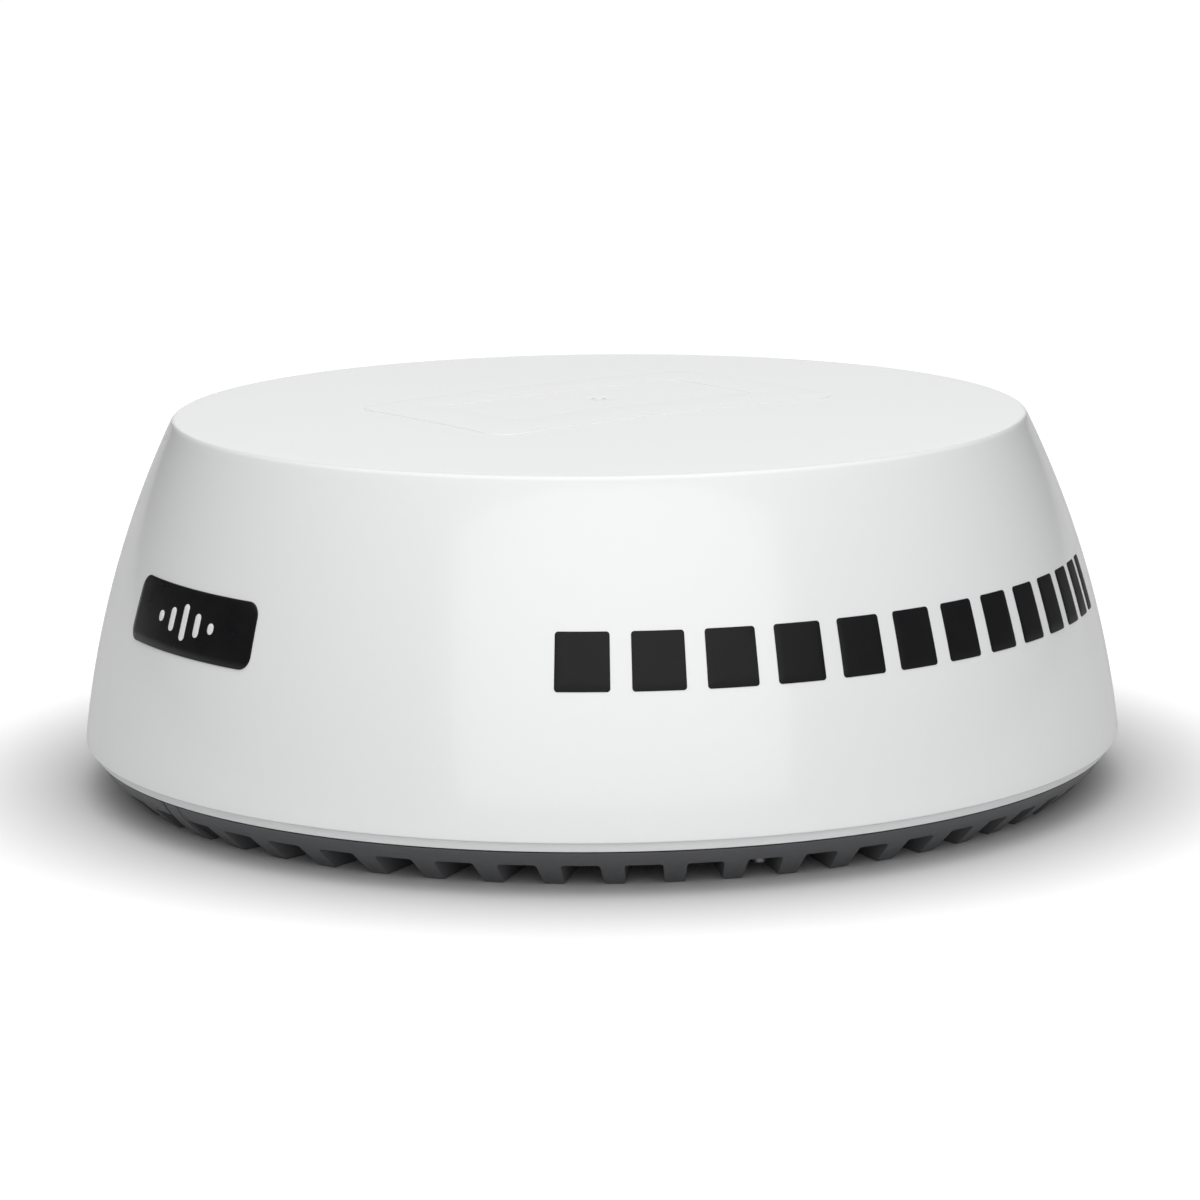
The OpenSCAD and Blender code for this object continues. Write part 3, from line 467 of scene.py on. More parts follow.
def finish(slot, color, rough, drift=0.06, scale=25.0, grain=(900.0, 0.15, 0.0002), metal=0.0, streaks=None,
           coat=0.0, specular=0.5):
    """A finish: a colour, a range of roughness, and grain (scale, strength, depth) or streaks."""
    material, tree, shader = make_material(slot)
    tone = add(tree, "ShaderNodeGroup", {}, node_tree=TONE)
    tone.inputs["Color A"].default_value = shade(color, 1 - drift)
    tone.inputs["Color B"].default_value = shade(color, 1 + drift)
    tone.inputs["Scale"].default_value = scale
    tone.inputs["Low"].default_value, tone.inputs["High"].default_value = rough
    tree.links.new(tone.outputs["Color"], shader.inputs["Base Color"])
    tree.links.new(tone.outputs["Roughness"], shader.inputs["Roughness"])
    if streaks:
        lines = add(tree, "ShaderNodeGroup", {}, node_tree=STREAKS)
        lines.inputs["Stretch"].default_value = streaks
        tree.links.new(lines.outputs["Normal"], shader.inputs["Normal"])
    else:
        bumps = add(tree, "ShaderNodeGroup", {}, node_tree=GRAIN)
        for label, value in zip(("Scale", "Strength", "Depth"), grain):
            bumps.inputs[label].default_value = value
        tree.links.new(bumps.outputs["Normal"], shader.inputs["Normal"])
    shader.inputs["Metallic"].default_value = metal
    shader.inputs["Specular IOR Level"].default_value = specular
    shader.inputs["Coat Weight"].default_value = coat
    shader.inputs["Coat Roughness"].default_value = 0.04
    finishes[slot] = material
    return material, tree, shader


ALONG_X, ROUND = (0.02, 1, 1), (0.3, 0.3, 4)
finish("radome_white", (0.84, 0.845, 0.85), (0.27, 0.27), 0.0, 9, (1800.0, 0.03, 0.00004), coat=0.3)
finish("badge_black", (0.006, 0.006, 0.007), (0.26, 0.34), 0.2, 60, (500.0, 0.04, 0.0001), specular=0.35)
finish("mark_white", (0.85, 0.85, 0.85), (0.30, 0.38), 0.02, 80, (900.0, 0.05, 0.0001))
finish("mark_black", (0.006, 0.006, 0.007), (0.42, 0.50), 0.15, 80, (900.0, 0.05, 0.0001), specular=0.2)
finish("base_grey", (0.088, 0.090, 0.095), (0.34, 0.46), 0.07, 30, (1500.0, 0.22, 0.0002), coat=0.05)
finish("strip_grey", (0.105, 0.107, 0.112), (0.40, 0.52), 0.06, 50, (2200.0, 0.30, 0.0002))
finish("seal_rubber", (0.018, 0.018, 0.018), (0.70, 0.85), 0.25, 60, (1800.0, 0.35, 0.0003))
finish("belt_rubber", (0.022, 0.022, 0.023), (0.60, 0.75), 0.25, 90, (2200.0, 0.35, 0.0003))
finish("lead_sleeve", (0.020, 0.020, 0.022), (0.42, 0.58), 0.3, 140, (1600.0, 0.25, 0.0003))
finish("socket_plastic", (0.025, 0.025, 0.027), (0.42, 0.55), 0.2, 70, (2500.0, 0.35, 0.0002))
finish("component_black", (0.030, 0.030, 0.033), (0.38, 0.52), 0.3, 60, (2200.0, 0.25, 0.0002))
finish("pulley_nylon", (0.68, 0.65, 0.55), (0.36, 0.46), 0.05, 40, (1200.0, 0.15, 0.0002))
finish("window_plastic", (0.70, 0.70, 0.67), (0.42, 0.52), 0.03, 30, (2000.0, 0.20, 0.0002))
finish("brass", (0.78, 0.58, 0.28), (0.24, 0.36), 0.08, 90, metal=1.0, streaks=ROUND)
finish("stainless", (0.60, 0.60, 0.59), (0.24, 0.36), 0.05, 80, metal=1.0, streaks=ROUND)
finish("screw_steel", (0.32, 0.32, 0.33), (0.32, 0.44), 0.08, 80, metal=1.0, streaks=ROUND)
finish("socket_metal", (0.42, 0.42, 0.43), (0.30, 0.42), 0.06, 80, metal=1.0, streaks=ROUND)
finish("bearing_steel", (0.66, 0.66, 0.67), (0.10, 0.18), 0.04, 60, metal=1.0, streaks=ROUND)
finish("spring_steel", (0.07, 0.07, 0.08), (0.34, 0.44), 0.1, 80, metal=1.0)
finish("magnet", (0.24, 0.24, 0.26), (0.20, 0.30), 0.08, 90, metal=1.0)
finish("cast_alloy", (0.46, 0.46, 0.47), (0.46, 0.62), 0.08, 35, (700.0, 0.55, 0.0005), metal=0.9)
finish("plate_alloy", (0.62, 0.63, 0.64), (0.28, 0.38), 0.05, 25, metal=1.0, streaks=ALONG_X)
finish("pulley_alloy", (0.58, 0.58, 0.60), (0.24, 0.34), 0.05, 50, metal=1.0, streaks=ROUND)
finish("shield_tin", (0.62, 0.62, 0.61), (0.22, 0.36), 0.07, 45, metal=1.0, streaks=ALONG_X)
finish("motor_black", (0.022, 0.022, 0.025), (0.40, 0.55), 0.15, 40, (1100.0, 0.45, 0.0004))
finish("weight_iron", (0.055, 0.055, 0.058), (0.52, 0.68), 0.15, 50, (600.0, 0.60, 0.0006))
print("finishes:", len(finishes))


# %% Boards and braided line
def board_finish():
    """Solder mask over copper: tracks show as raised, lighter lines between rows of tinned pads."""
    material, tree, shader = finish("circuit_board", (0.012, 0.085, 0.035), (0.24, 0.34), 0.12, 40)
    where = place(tree)
    tracks = add(tree, "ShaderNodeTexBrick", {"Vector": where, "Scale": 130.0, "Mortar Size": 0.06,
                 "Brick Width": 0.9, "Row Height": 0.25}, offset=0.37).outputs["Fac"]
    cells = add(tree, "ShaderNodeTexVoronoi", {"Vector": where, "Scale": 240.0}).outputs["Distance"]
    pads = calc(tree, "MULTIPLY", calc(tree, "LESS_THAN", cells, 0.16),
                calc(tree, "GREATER_THAN", noise(tree, where, 35.0), 0.56))
    lines = calc(tree, "MULTIPLY", tracks, calc(tree, "GREATER_THAN", noise(tree, where, 18.0), 0.47))
    mask = shader.inputs["Base Color"].links[0].from_socket
    traced = add(tree, "ShaderNodeMix", {"Factor": lines, 6: mask, 7: (0.03, 0.19, 0.08, 1)}, data_type="RGBA")
    tinned = add(tree, "ShaderNodeMix", {"Factor": pads, 6: traced.outputs[2], 7: (0.55, 0.53, 0.45, 1)},
                 data_type="RGBA")
    tree.links.new(tinned.outputs[2], shader.inputs["Base Color"])
    tree.links.new(pads, shader.inputs["Metallic"])
    bump = add(tree, "ShaderNodeBump", {"Height": calc(tree, "ADD", lines, pads), "Strength": 0.3,
               "Distance": 0.0001})
    tree.links.new(bump.outputs["Normal"], shader.inputs["Normal"])


def braid_finish():
    """Bare copper braid: two sets of fine diagonal waves, one each way, with painted shade in the gaps between
    them.
    """
    material, tree, shader = finish("copper_line", (0.62, 0.33, 0.18), (0.30, 0.42), 0.08, 120, metal=1.0)
    where = place(tree)
    ways = []
    for turn in (-0.8, 0.8):
        turned = add(tree, "ShaderNodeMapping", {"Vector": where, "Rotation": (turn, turn, turn)}).outputs[0]
        ways.append(add(tree, "ShaderNodeTexWave", {"Vector": turned, "Scale": 900.0}).outputs["Fac"])
    weave = calc(tree, "MAXIMUM", *ways)
    copper = shader.inputs["Base Color"].links[0].from_socket
    # The dark brown between the strands is painted shade.
    gap_shade = add(tree, "ShaderNodeMix", {"Factor": weave, 6: (0.10, 0.05, 0.03, 1), 7: copper}, data_type="RGBA")
    tree.links.new(gap_shade.outputs[2], shader.inputs["Base Color"])
    bump = add(tree, "ShaderNodeBump", {"Height": weave, "Strength": 0.5, "Distance": 0.0002})
    tree.links.new(bump.outputs["Normal"], shader.inputs["Normal"])


board_finish()
braid_finish()
slots_in_record = {entry["slot"] for entry in frame["record"]["materials"]}
print("slots without a finish:", slots_in_record - set(finishes))

# %% [markdown]
# ## The radome
# The shell is a moulding of one outline turned round the dome's axis: a shallow crown, a tight rim, a long bowed
# wall and a small inset lip that stands on the base. A turned outline is a rule, so a geometry tree makes it: it
# takes the outline's points, lays them round a grid and closes the pole and the seam by merging doubles.

# %% The radome's outline
dome_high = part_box("radome")[1]
DOME_R = dome_high[0]
EDGE_Z = 29.3 * MM
RIM_R, RIM_Z = 251.9 * MM, 217.9 * MM
TOP_Z = 224.5 * MM
WALL_ARC_R = 573 * MM
SHELL_T = 5 * MM
RIM_ROUND = 4.5 * MM
LIP_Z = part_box("radome")[0][2]
LIP_R, LIP_IN_R = 303 * MM, 289 * MM
EYE_R, EYE_DEPTH = 4 * MM, 1 * MM

wall_foot, rim = Vector((DOME_R, EDGE_Z)), Vector((RIM_R, RIM_Z))
wall_c = arc_centre(wall_foot, rim, WALL_ARC_R)
crown_rise = TOP_Z - RIM_Z
CROWN_ARC_R = (RIM_R ** 2 + crown_rise ** 2) / (2 * crown_rise)
crown_c = Vector((0, TOP_Z - CROWN_ARC_R))


def wall_r(z, inward=0.0):
    """Radius of the wall at height z, moved in by a thickness."""
    return wall_c.x + math.sqrt((WALL_ARC_R - inward) ** 2 - (z - wall_c.y) ** 2)


def crown_z(r):
    return crown_c.y + math.sqrt(CROWN_ARC_R ** 2 - r * r)


def radome_outline():
    """From the dimple in the crown out to the rim, down the wall, round the lip and back inside to the axis."""
    wall = arc(wall_c, WALL_ARC_R, bearing_of(wall_c, rim), bearing_of(wall_c, wall_foot), 28)
    crown = [Vector((r, crown_z(r))) for r in (RIM_R * i / 18 for i in range(1, 18))]
    inside = arc(wall_c, WALL_ARC_R - SHELL_T, bearing_of(wall_c, wall_foot) + 0.012,
                 bearing_of(wall_c, rim) - 0.006, 14)
    ceiling = [Vector((r, crown_z(r) - SHELL_T)) for r in (RIM_R * i / 12 for i in range(11, -1, -1))]
    lip_top = Vector((LIP_R + 1.5 * MM, EDGE_Z - 1 * MM))
    lip_foot, lip_inner = Vector((LIP_R, LIP_Z)), Vector((LIP_IN_R, LIP_Z))
    eye_floor = TOP_Z - EYE_DEPTH
    eye = [Vector((0, eye_floor)), Vector((EYE_R - 0.8 * MM, eye_floor))]
    eye += rounded(eye[1], Vector((EYE_R - 0.2 * MM, eye_floor)), Vector((EYE_R, TOP_Z)), 0.3 * MM, 3)
    eye += rounded(Vector((EYE_R - 0.2 * MM, eye_floor)), Vector((EYE_R, TOP_Z)), crown[0], 0.3 * MM, 3)
    return (eye + crown
            + rounded(crown[-1], rim, wall[1], RIM_ROUND, 8) + wall[1:-1]
            + rounded(wall[-2], wall_foot, lip_top, 1.1 * MM, 5)
            + rounded(wall_foot, lip_top, lip_foot, 0.3 * MM, 2)
            + rounded(lip_top, lip_foot, lip_inner, 0.8 * MM, 4)
            + rounded(lip_foot, lip_inner, inside[0], 0.5 * MM, 2)
            + inside + ceiling)


# %% The turning tree
def make_turning_tree():
    """Turns the points of an outline, given as (radius, 0, height), round the Z axis."""
    tree, given = shape_tree("turned outline", ["Segments"])
    outline = given.outputs["Geometry"]
    count = add(tree, "GeometryNodeAttributeDomainSize", {"Geometry": outline}).outputs["Point Count"]
    last = calc(tree, "SUBTRACT", count, 1)
    segments = given.outputs["Segments"]
    grid = add(tree, "GeometryNodeMeshGrid", {"Size X": last, "Size Y": segments, "Vertices X": count,
               "Vertices Y": calc(tree, "ADD", segments, 1)}).outputs["Mesh"]
    spot = add(tree, "ShaderNodeSeparateXYZ", {0: add(tree, "GeometryNodeInputPosition").outputs[0]}).outputs
    step = calc(tree, "ADD", spot["X"], calc(tree, "DIVIDE", last, 2))
    index = add(tree, "FunctionNodeFloatToInt", {0: step}, rounding_mode="ROUND").outputs[0]
    share = calc(tree, "ADD", calc(tree, "DIVIDE", spot["Y"], segments), 0.5)
    here = add(tree, "GeometryNodeInputPosition").outputs[0]
    sample = add(tree, "GeometryNodeSampleIndex", {0: outline, "Index": index}, data_type="FLOAT_VECTOR")
    tree.links.new(here, sample.inputs["Value"])
    point = add(tree, "ShaderNodeSeparateXYZ", {0: sample.outputs[0]}).outputs
    turned = circle_point(tree, point["X"], calc(tree, "MULTIPLY", share, 2 * math.pi), point["Z"])
    moved = add(tree, "GeometryNodeSetPosition", {"Geometry": grid, "Position": turned}).outputs[0]
    end_tree(tree, given, moved)
    return tree


TURNING = make_turning_tree()


def outline_mesh(name, points):
    mesh = bpy.data.meshes.new(name)
    mesh.from_pydata([(p.x, 0, p.y) for p in points], [(i, i + 1) for i in range(len(points) - 1)], [])
    return mesh


def turned_mesh(name, points, segments, slot):
    return grown(outline_mesh(name, points), TURNING, finishes[slot], Segments=float(segments))


radome_shell = turned_mesh("radome_outline", radome_outline(), 256, "radome_white")
plastic = round(abs(volume_of(radome_shell)) * 1000, 2)
print("radome shell:", len(radome_shell.polygons), "faces, litres of plastic:", plastic)

# %% [markdown]
# ## The crown's relief and the screw bosses
# A low frame stands half a millimetre proud of the crown. It is a ring of matching outlines, one outside the
# other, so each face is a simple quad, and every point is dropped on to the crown. Inside the lip stand six
# bosses for the screws, each with a gusset to the wall: one boss is made and a geometry tree repeats it.

# %% Relief
RELIEF_W, RELIEF_D, RELIEF_BAND, RELIEF_H = 150 * MM, 250 * MM, 38 * MM, 0.5 * MM


def relief_mesh():
    """A closed ring: down its outer side, across its top and down its inner side, with soft shoulders."""
    steps = [(0.0, -1.0), (0.0, 0.0), (0.25, 0.35), (0.9, 0.85), (2.2, 1.0)]
    sizes = [(inset * MM, rise * RELIEF_H) for inset, rise in steps]
    rings = []
    for inset, rise in sizes:
        rings.append((RELIEF_W - 2 * inset, RELIEF_D - 2 * inset, 16 * MM - inset, rise))
    inner_w, inner_d = RELIEF_W - 2 * RELIEF_BAND, RELIEF_D - 2 * RELIEF_BAND
    for inset, rise in reversed(sizes):
        rings.append((inner_w + 2 * inset, inner_d + 2 * inset, 6 * MM + inset, rise))
    verts, faces = [], []
    for width, depth, radius, rise in rings:
        for p in rounded_rectangle(width, depth, radius, 10, 16):
            verts.append((p.x, p.y, crown_z(p.length) + rise))
    count = len(verts) // len(rings)
    for ring in range(len(rings)):
        after = (ring + 1) % len(rings)
        for i in range(count):
            j = (i + 1) % count
            faces.append((ring * count + i, ring * count + j, after * count + j, after * count + i))
    mesh = bpy.data.meshes.new("relief")
    mesh.from_pydata(verts, [], faces)
    if volume_of(mesh) < 0:
        mesh.flip_normals()
    return mesh


relief = relief_mesh()
print("relief:", len(relief.polygons), "faces")


# %% Bosses
def make_repeat_tree():
    """Repeats a mesh at the points of a list, turned to each point's own angle."""
    tree = bpy.data.node_groups.new("repeated", "GeometryNodeTree")
    tree.interface.new_socket("Geometry", in_out="OUTPUT", socket_type="NodeSocketGeometry")
    tree.interface.new_socket("Geometry", in_out="INPUT", socket_type="NodeSocketGeometry")
    tree.interface.new_socket("Material", in_out="INPUT", socket_type="NodeSocketMaterial")
    tree.interface.new_socket("Pattern", in_out="INPUT", socket_type="NodeSocketObject")
    given = add(tree, "NodeGroupInput")
    pattern = add(tree, "GeometryNodeObjectInfo", {"Object": given.outputs["Pattern"]}).outputs["Geometry"]
    angle = add(tree, "GeometryNodeInputNamedAttribute", {"Name": "angle"}, data_type="FLOAT").outputs[0]
    turn = add(tree, "ShaderNodeCombineXYZ", {"Z": angle}).outputs[0]
    placed = add(tree, "GeometryNodeInstanceOnPoints", {"Points": given.outputs["Geometry"], "Instance": pattern,
                 "Rotation": turn}).outputs[0]
    end_tree(tree, given, placed, 0.000001)
    return tree


REPEATED = make_repeat_tree()


def repeated(pattern, spots, material):
    """One mesh with a pattern at each spot, given as (x, y, z, angle)."""
    points = bpy.data.meshes.new("spots")
    points.from_pydata([spot[:3] for spot in spots], [], [])
    points.attributes.new("angle", "FLOAT", "POINT").data.foreach_set("value", [spot[3] for spot in spots])
    source = bpy.data.objects.new("pattern", pattern)
    bpy.context.scene.collection.objects.link(source)
    made = grown(points, REPEATED, material, Pattern=source)
    bpy.data.objects.remove(source)
    return made


SCREW_COUNT = 6
BOSS_R, BOSS_H = 7.5 * MM, 20 * MM
SCREW_RING_R = 276 * MM
RIB_CENTRE_Y = 45 * MM
RIB_COUNT = 60


def screw_bearing(k):
    """Bearing of screw k round the dome. Each screw is in the slot beside a rib, as seen from the ribs' centre."""
    phi = 2 * math.pi / SCREW_COUNT * k + math.pi / RIB_COUNT
    reach = RIB_CENTRE_Y * math.cos(phi) + math.sqrt(SCREW_RING_R ** 2 - (RIB_CENTRE_Y * math.sin(phi)) ** 2)
    return math.atan2(reach * math.sin(phi), reach * math.cos(phi) - RIB_CENTRE_Y)


def boss_mesh():
    """A boss on its own axis, with a gusset towards -Y."""
    form = bmesh.new()
    bmesh.ops.create_cone(form, segments=40, radius1=BOSS_R, radius2=BOSS_R, depth=BOSS_H, cap_ends=True,
                          matrix=Matrix.Translation((0, 0, BOSS_H / 2)))
    side = [(0, 0.2), (-20, 0.2), (-20.5, 36), (-5, 19.8), (0, 19.8)]
    ends = [[form.verts.new((x * MM, y * MM, z * MM)) for y, z in side] for x in (-2, 2)]
    form.faces.new(ends[0])
    form.faces.new(list(reversed(ends[1])))
    for i in range(len(side)):
        j = (i + 1) % len(side)
        form.faces.new((ends[0][j], ends[0][i], ends[1][i], ends[1][j]))
    bmesh.ops.recalc_face_normals(form, faces=form.faces)
    mesh = bpy.data.meshes.new("boss")
    form.to_mesh(mesh)
    form.free()
    return bevelled(mesh, 0.6 * MM)


boss_spots = []
for k in range(SCREW_COUNT):
    bearing = screw_bearing(k)
    boss_spots.append((SCREW_RING_R * math.sin(bearing), -SCREW_RING_R * math.cos(bearing), LIP_Z, bearing))
bosses = repeated(boss_mesh(), boss_spots, finishes["radome_white"])
if volume_of(radome_shell) < 0:
    radome_shell.flip_normals()
radome_piece = add_piece("radome_shell", joined([radome_shell, relief, bosses]), "radome", "radome_white", "radome")
print("bosses:", len(boss_spots))

# %% [markdown]
# ## Markings
# The badge and the printed marks lie on a wall that curves both ways. They are drawn flat, as rounded plates with
# soft edges, and a geometry tree lays them on the wall: a point's sideways place becomes a bearing, and its
# height gives the wall's radius, to which its thickness is added.

# %% The laying tree
SKIN = 0.25 * MM


def make_laying_tree():
    """Lays a flat mesh, with X along the wall, Y out of it and Z up, on the radome's wall."""
    tree, given = shape_tree("laid on the wall", ["Arc Radius", "Centre Radius", "Centre Height", "Middle Radius"])
    place_in = add(tree, "ShaderNodeSeparateXYZ", {0: add(tree, "GeometryNodeInputPosition").outputs[0]}).outputs
    rise = calc(tree, "SUBTRACT", place_in["Z"], given.outputs["Centre Height"])
    under_root = calc(tree, "SUBTRACT", calc(tree, "POWER", given.outputs["Arc Radius"], 2),
                      calc(tree, "POWER", calc(tree, "ABSOLUTE", rise), 2))
    wall = calc(tree, "ADD", given.outputs["Centre Radius"], calc(tree, "SQRT", under_root))
    radius = calc(tree, "ADD", wall, place_in["Y"])
    angle = calc(tree, "DIVIDE", place_in["X"], given.outputs["Middle Radius"])
    laid = circle_point(tree, radius, angle, place_in["Z"])
    moved = add(tree, "GeometryNodeSetPosition", {"Geometry": given.outputs["Geometry"], "Position": laid})
    end_tree(tree, given, moved.outputs[0], 0.000001)
    return tree


LAYING = make_laying_tree()


def plate_form(form, width, height, radius, low, high, soft, at):
    """Adds a closed rounded plate to a form: X along, Y out from low to high, Z up, with a soft front edge."""
    rings = [(0.0, low), (0.0, high - soft), (soft * 0.3, high - soft * 0.3), (soft, high)]
    loops = []
    for inset, depth in rings:
        outline = rounded_rectangle(width - 2 * inset, height - 2 * inset, max(radius - inset, 0.0002), 8)
        loops.append([form.verts.new((at[0] + p.x, depth, at[1] + p.y)) for p in outline])
    count = len(loops[0])
    for near, far in zip(loops, loops[1:]):
        for i in range(count):
            j = (i + 1) % count
            form.faces.new((near[i], near[j], far[j], far[i]))
    form.faces.new(loops[-1])
    form.faces.new(list(reversed(loops[0])))


def sliced(form, spacing_x, spacing_z):
    """Cuts a form's faces by evenly spaced planes, so that it can bend."""
    for axis, spacing in ((0, spacing_x), (2, spacing_z)):
        low = min(v.co[axis] for v in form.verts)
        high = max(v.co[axis] for v in form.verts)
        normal = Vector((0, 0, 0))
        normal[axis] = 1
        for i in range(1, int((high - low) / spacing) + 1):
            geometry = form.verts[:] + form.edges[:] + form.faces[:]
            bmesh.ops.bisect_plane(form, geom=geometry, plane_co=normal * (low + i * spacing), plane_no=normal,
                                   dist=1e-7)


def laid(name, plates, slot, node, spacing_x=4 * MM):
    """A piece of plates (width, height, radius, low, high, soft, at) laid on the wall."""
    form = bmesh.new()
    for plate in plates:
        single = bmesh.new()
        plate_form(single, *plate)
        sliced(single, spacing_x, 5 * MM)
        bmesh.ops.recalc_face_normals(single, faces=single.faces)
        flat = bpy.data.meshes.new("flat")
        single.to_mesh(flat)
        single.free()
        form.from_mesh(flat)
    mesh = bpy.data.meshes.new(name)
    form.to_mesh(mesh)
    form.free()
    bent = grown(mesh, LAYING, finishes[slot], **{
        "Arc Radius": WALL_ARC_R, "Centre Radius": wall_c.x, "Centre Height": wall_c.y, "Middle Radius": MARK_R})
    return add_piece(name, bent, "radome", slot, node)


# %% Badge, strokes and bars
badge_low, badge_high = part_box("bow_badge")
BADGE_Z = (badge_low[2] + badge_high[2]) / 2
BADGE_H = badge_high[2] - badge_low[2]
BADGE_W, BADGE_T, MARK_T = 124 * MM, 0.7 * MM, 0.3 * MM
MARK_R = wall_r(BADGE_Z)
laid("bow_badge_plate", [(BADGE_W, BADGE_H, 8 * MM, -SKIN, BADGE_T, 0.35 * MM, (0, BADGE_Z))],
     "badge_black", "bow_badge")
STROKE_H = [6, 13, 20, 13, 6]
strokes = [(5 * MM, h * MM, 2.4 * MM, BADGE_T - SKIN, BADGE_T + MARK_T, 0.15 * MM, ((i - 2) * 13 * MM, BADGE_Z))
           for i, h in enumerate(STROKE_H)]
laid("badge_strokes", strokes, "mark_white", "badge_marks", 2 * MM)

side_low, side_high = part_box("side_marks")
SIDE_Z, SIDE_H = (side_low[2] + side_high[2]) / 2, side_high[2] - side_low[2]
SIDE_FROM, SIDE_TO, SIDE_COUNT, SIDE_FILL, SIDE_CLOSING = 48.6, 131.4, 13, 0.72, 1.3


def bar_edge(i):
    """Bearing where bar i's share of the band begins."""
    return math.radians(SIDE_FROM + (SIDE_TO - SIDE_FROM) * (1 - (1 - i / SIDE_COUNT) ** SIDE_CLOSING))


bars = []
for i in range(SIDE_COUNT):
    width = (bar_edge(i + 1) - bar_edge(i)) * SIDE_FILL
    middle = (bar_edge(i) + width / 2) * MARK_R
    for side in (-1, 1):
        bars.append((width * MARK_R, SIDE_H, 1.8 * MM, -SKIN, MARK_T, 0.12 * MM, (side * middle, SIDE_Z)))
laid("side_bars", bars, "mark_black", "side_marks")
print("bars on both sides:", len(bars))

# %% [markdown]
# ## The ribbed base
# The base is a shallow cast bowl whose underside is cut into sixty ribs with slots for cooling air between them.
# The ribs point at a centre a little aft of the dome's axis, and their ends lie on the bowl's round outside. One
# share of the ring, a rib with half a slot on each side, is drawn as a template: every point knows its distance
# sideways from the rib's middle, its height, and either the radius round the dome's axis or the distance from
# the ribs' centre at which it ends. A geometry tree repeats the template and works out where its points fall.

# %% The base's sizes
base_low, base_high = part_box("base_pan")
FLANGE_R, FLANGE_Z, RIB_TIP_R, BOWL_ARC_R = base_high[0], 22.6 * MM, 279.3 * MM, 65 * MM
FLANGE_IN_R, SLOT_TOP, FLOOR_T = 266 * MM, 14.2 * MM, 4 * MM
SEAL_R0, SEAL_R1, SEAL_DEPTH = 291 * MM, 295 * MM, 2.4 * MM
RIB_ROOT_W, RIB_FOOT_W = 12.8 * MM, 11 * MM
SLOT_FILLET, FOOT_ROUND, EDGE_ROUND = 1.8 * MM, 1.3 * MM, 0.5 * MM
RIB_START = 184 * MM
bowl_c = arc_centre(Vector((RIB_TIP_R, 0)), Vector((FLANGE_R, FLANGE_Z)), BOWL_ARC_R)


def bowl_r(z):
    return bowl_c.x + math.sqrt(BOWL_ARC_R ** 2 - (z - bowl_c.y) ** 2)


def rib_levels():
    """Half width and height down a rib's side: the fillet under the floor, the drafted side, the rounded foot."""
    root, foot = RIB_ROOT_W / 2, RIB_FOOT_W / 2
    fillet = arc(Vector((root + SLOT_FILLET, SLOT_TOP - SLOT_FILLET)), SLOT_FILLET, math.pi / 2, math.pi, 4)
    rounding = arc(Vector((foot - FOOT_ROUND, FOOT_ROUND)), FOOT_ROUND, 0, -math.pi / 2, 4)
    return fillet + rounding


# %% The share of the ring
def share_template():
    """A closed share of the ring as (sideways, reach, height) points, with slot middles turned half a pitch."""
    half_pitch = math.pi / RIB_COUNT
    columns = [-1, -0.5, 0, 0.5, 1]
    verts, turns, faces = [], [], []

    def point(x, reach, z, turn=0.0):
        verts.append((x, reach, z))
        turns.append(turn)
        return len(verts) - 1

    def strip(first, second):
        for i in range(len(first) - 1):
            faces.append((first[i], first[i + 1], second[i + 1], second[i]))

    levels = rib_levels()
    end_rows = [[point(c * p.x, bowl_r(p.y), p.y) for c in columns] for p in levels]
    for upper, lower in zip(end_rows, end_rows[1:]):
        strip(upper, lower)

    def ring_row(width, reach, z):
        left, right = point(0, reach, z, -half_pitch), point(0, reach, z, half_pitch)
        return [left] + [point(c * width, reach, z) for c in columns] + [right]

    top = levels[0]
    slot_ends = [point(0, bowl_r(SLOT_TOP), SLOT_TOP, turn) for turn in (-half_pitch, half_pitch)]
    row = [slot_ends[0]] + end_rows[0] + [slot_ends[1]]
    outer_below = [slot_ends[0]] + [r[0] for r in end_rows] + end_rows[-1][1:-1]
    outer_below += [r[-1] for r in reversed(end_rows)] + [slot_ends[1]]
    for z in (16.5 * MM, 19 * MM, 21.3 * MM, FLANGE_Z):
        following = ring_row(top.x, bowl_r(z), z)
        strip(following, row)
        row = following
    seal_z, floor_z = FLANGE_Z - SEAL_DEPTH, SLOT_TOP + FLOOR_T
    for reach, z in ((SEAL_R1, FLANGE_Z), (SEAL_R1, seal_z), (SEAL_R0, seal_z), (SEAL_R0, FLANGE_Z),
                     (FLANGE_IN_R, FLANGE_Z), (FLANGE_IN_R, floor_z), (-RIB_START, floor_z)):
        following = ring_row(top.x, reach, z)
        strip(following, row)
        row = following
    inner_below = [point(verts[i][0], -RIB_START, verts[i][2], turns[i]) for i in outer_below]
    strip(outer_below, inner_below)
    faces.append(tuple(row) + tuple(reversed(inner_below)))
    mesh = bpy.data.meshes.new("share")
    mesh.from_pydata(verts, [], faces)
    mesh.attributes.new("turn", "FLOAT", "POINT").data.foreach_set("value", turns)
    return mesh


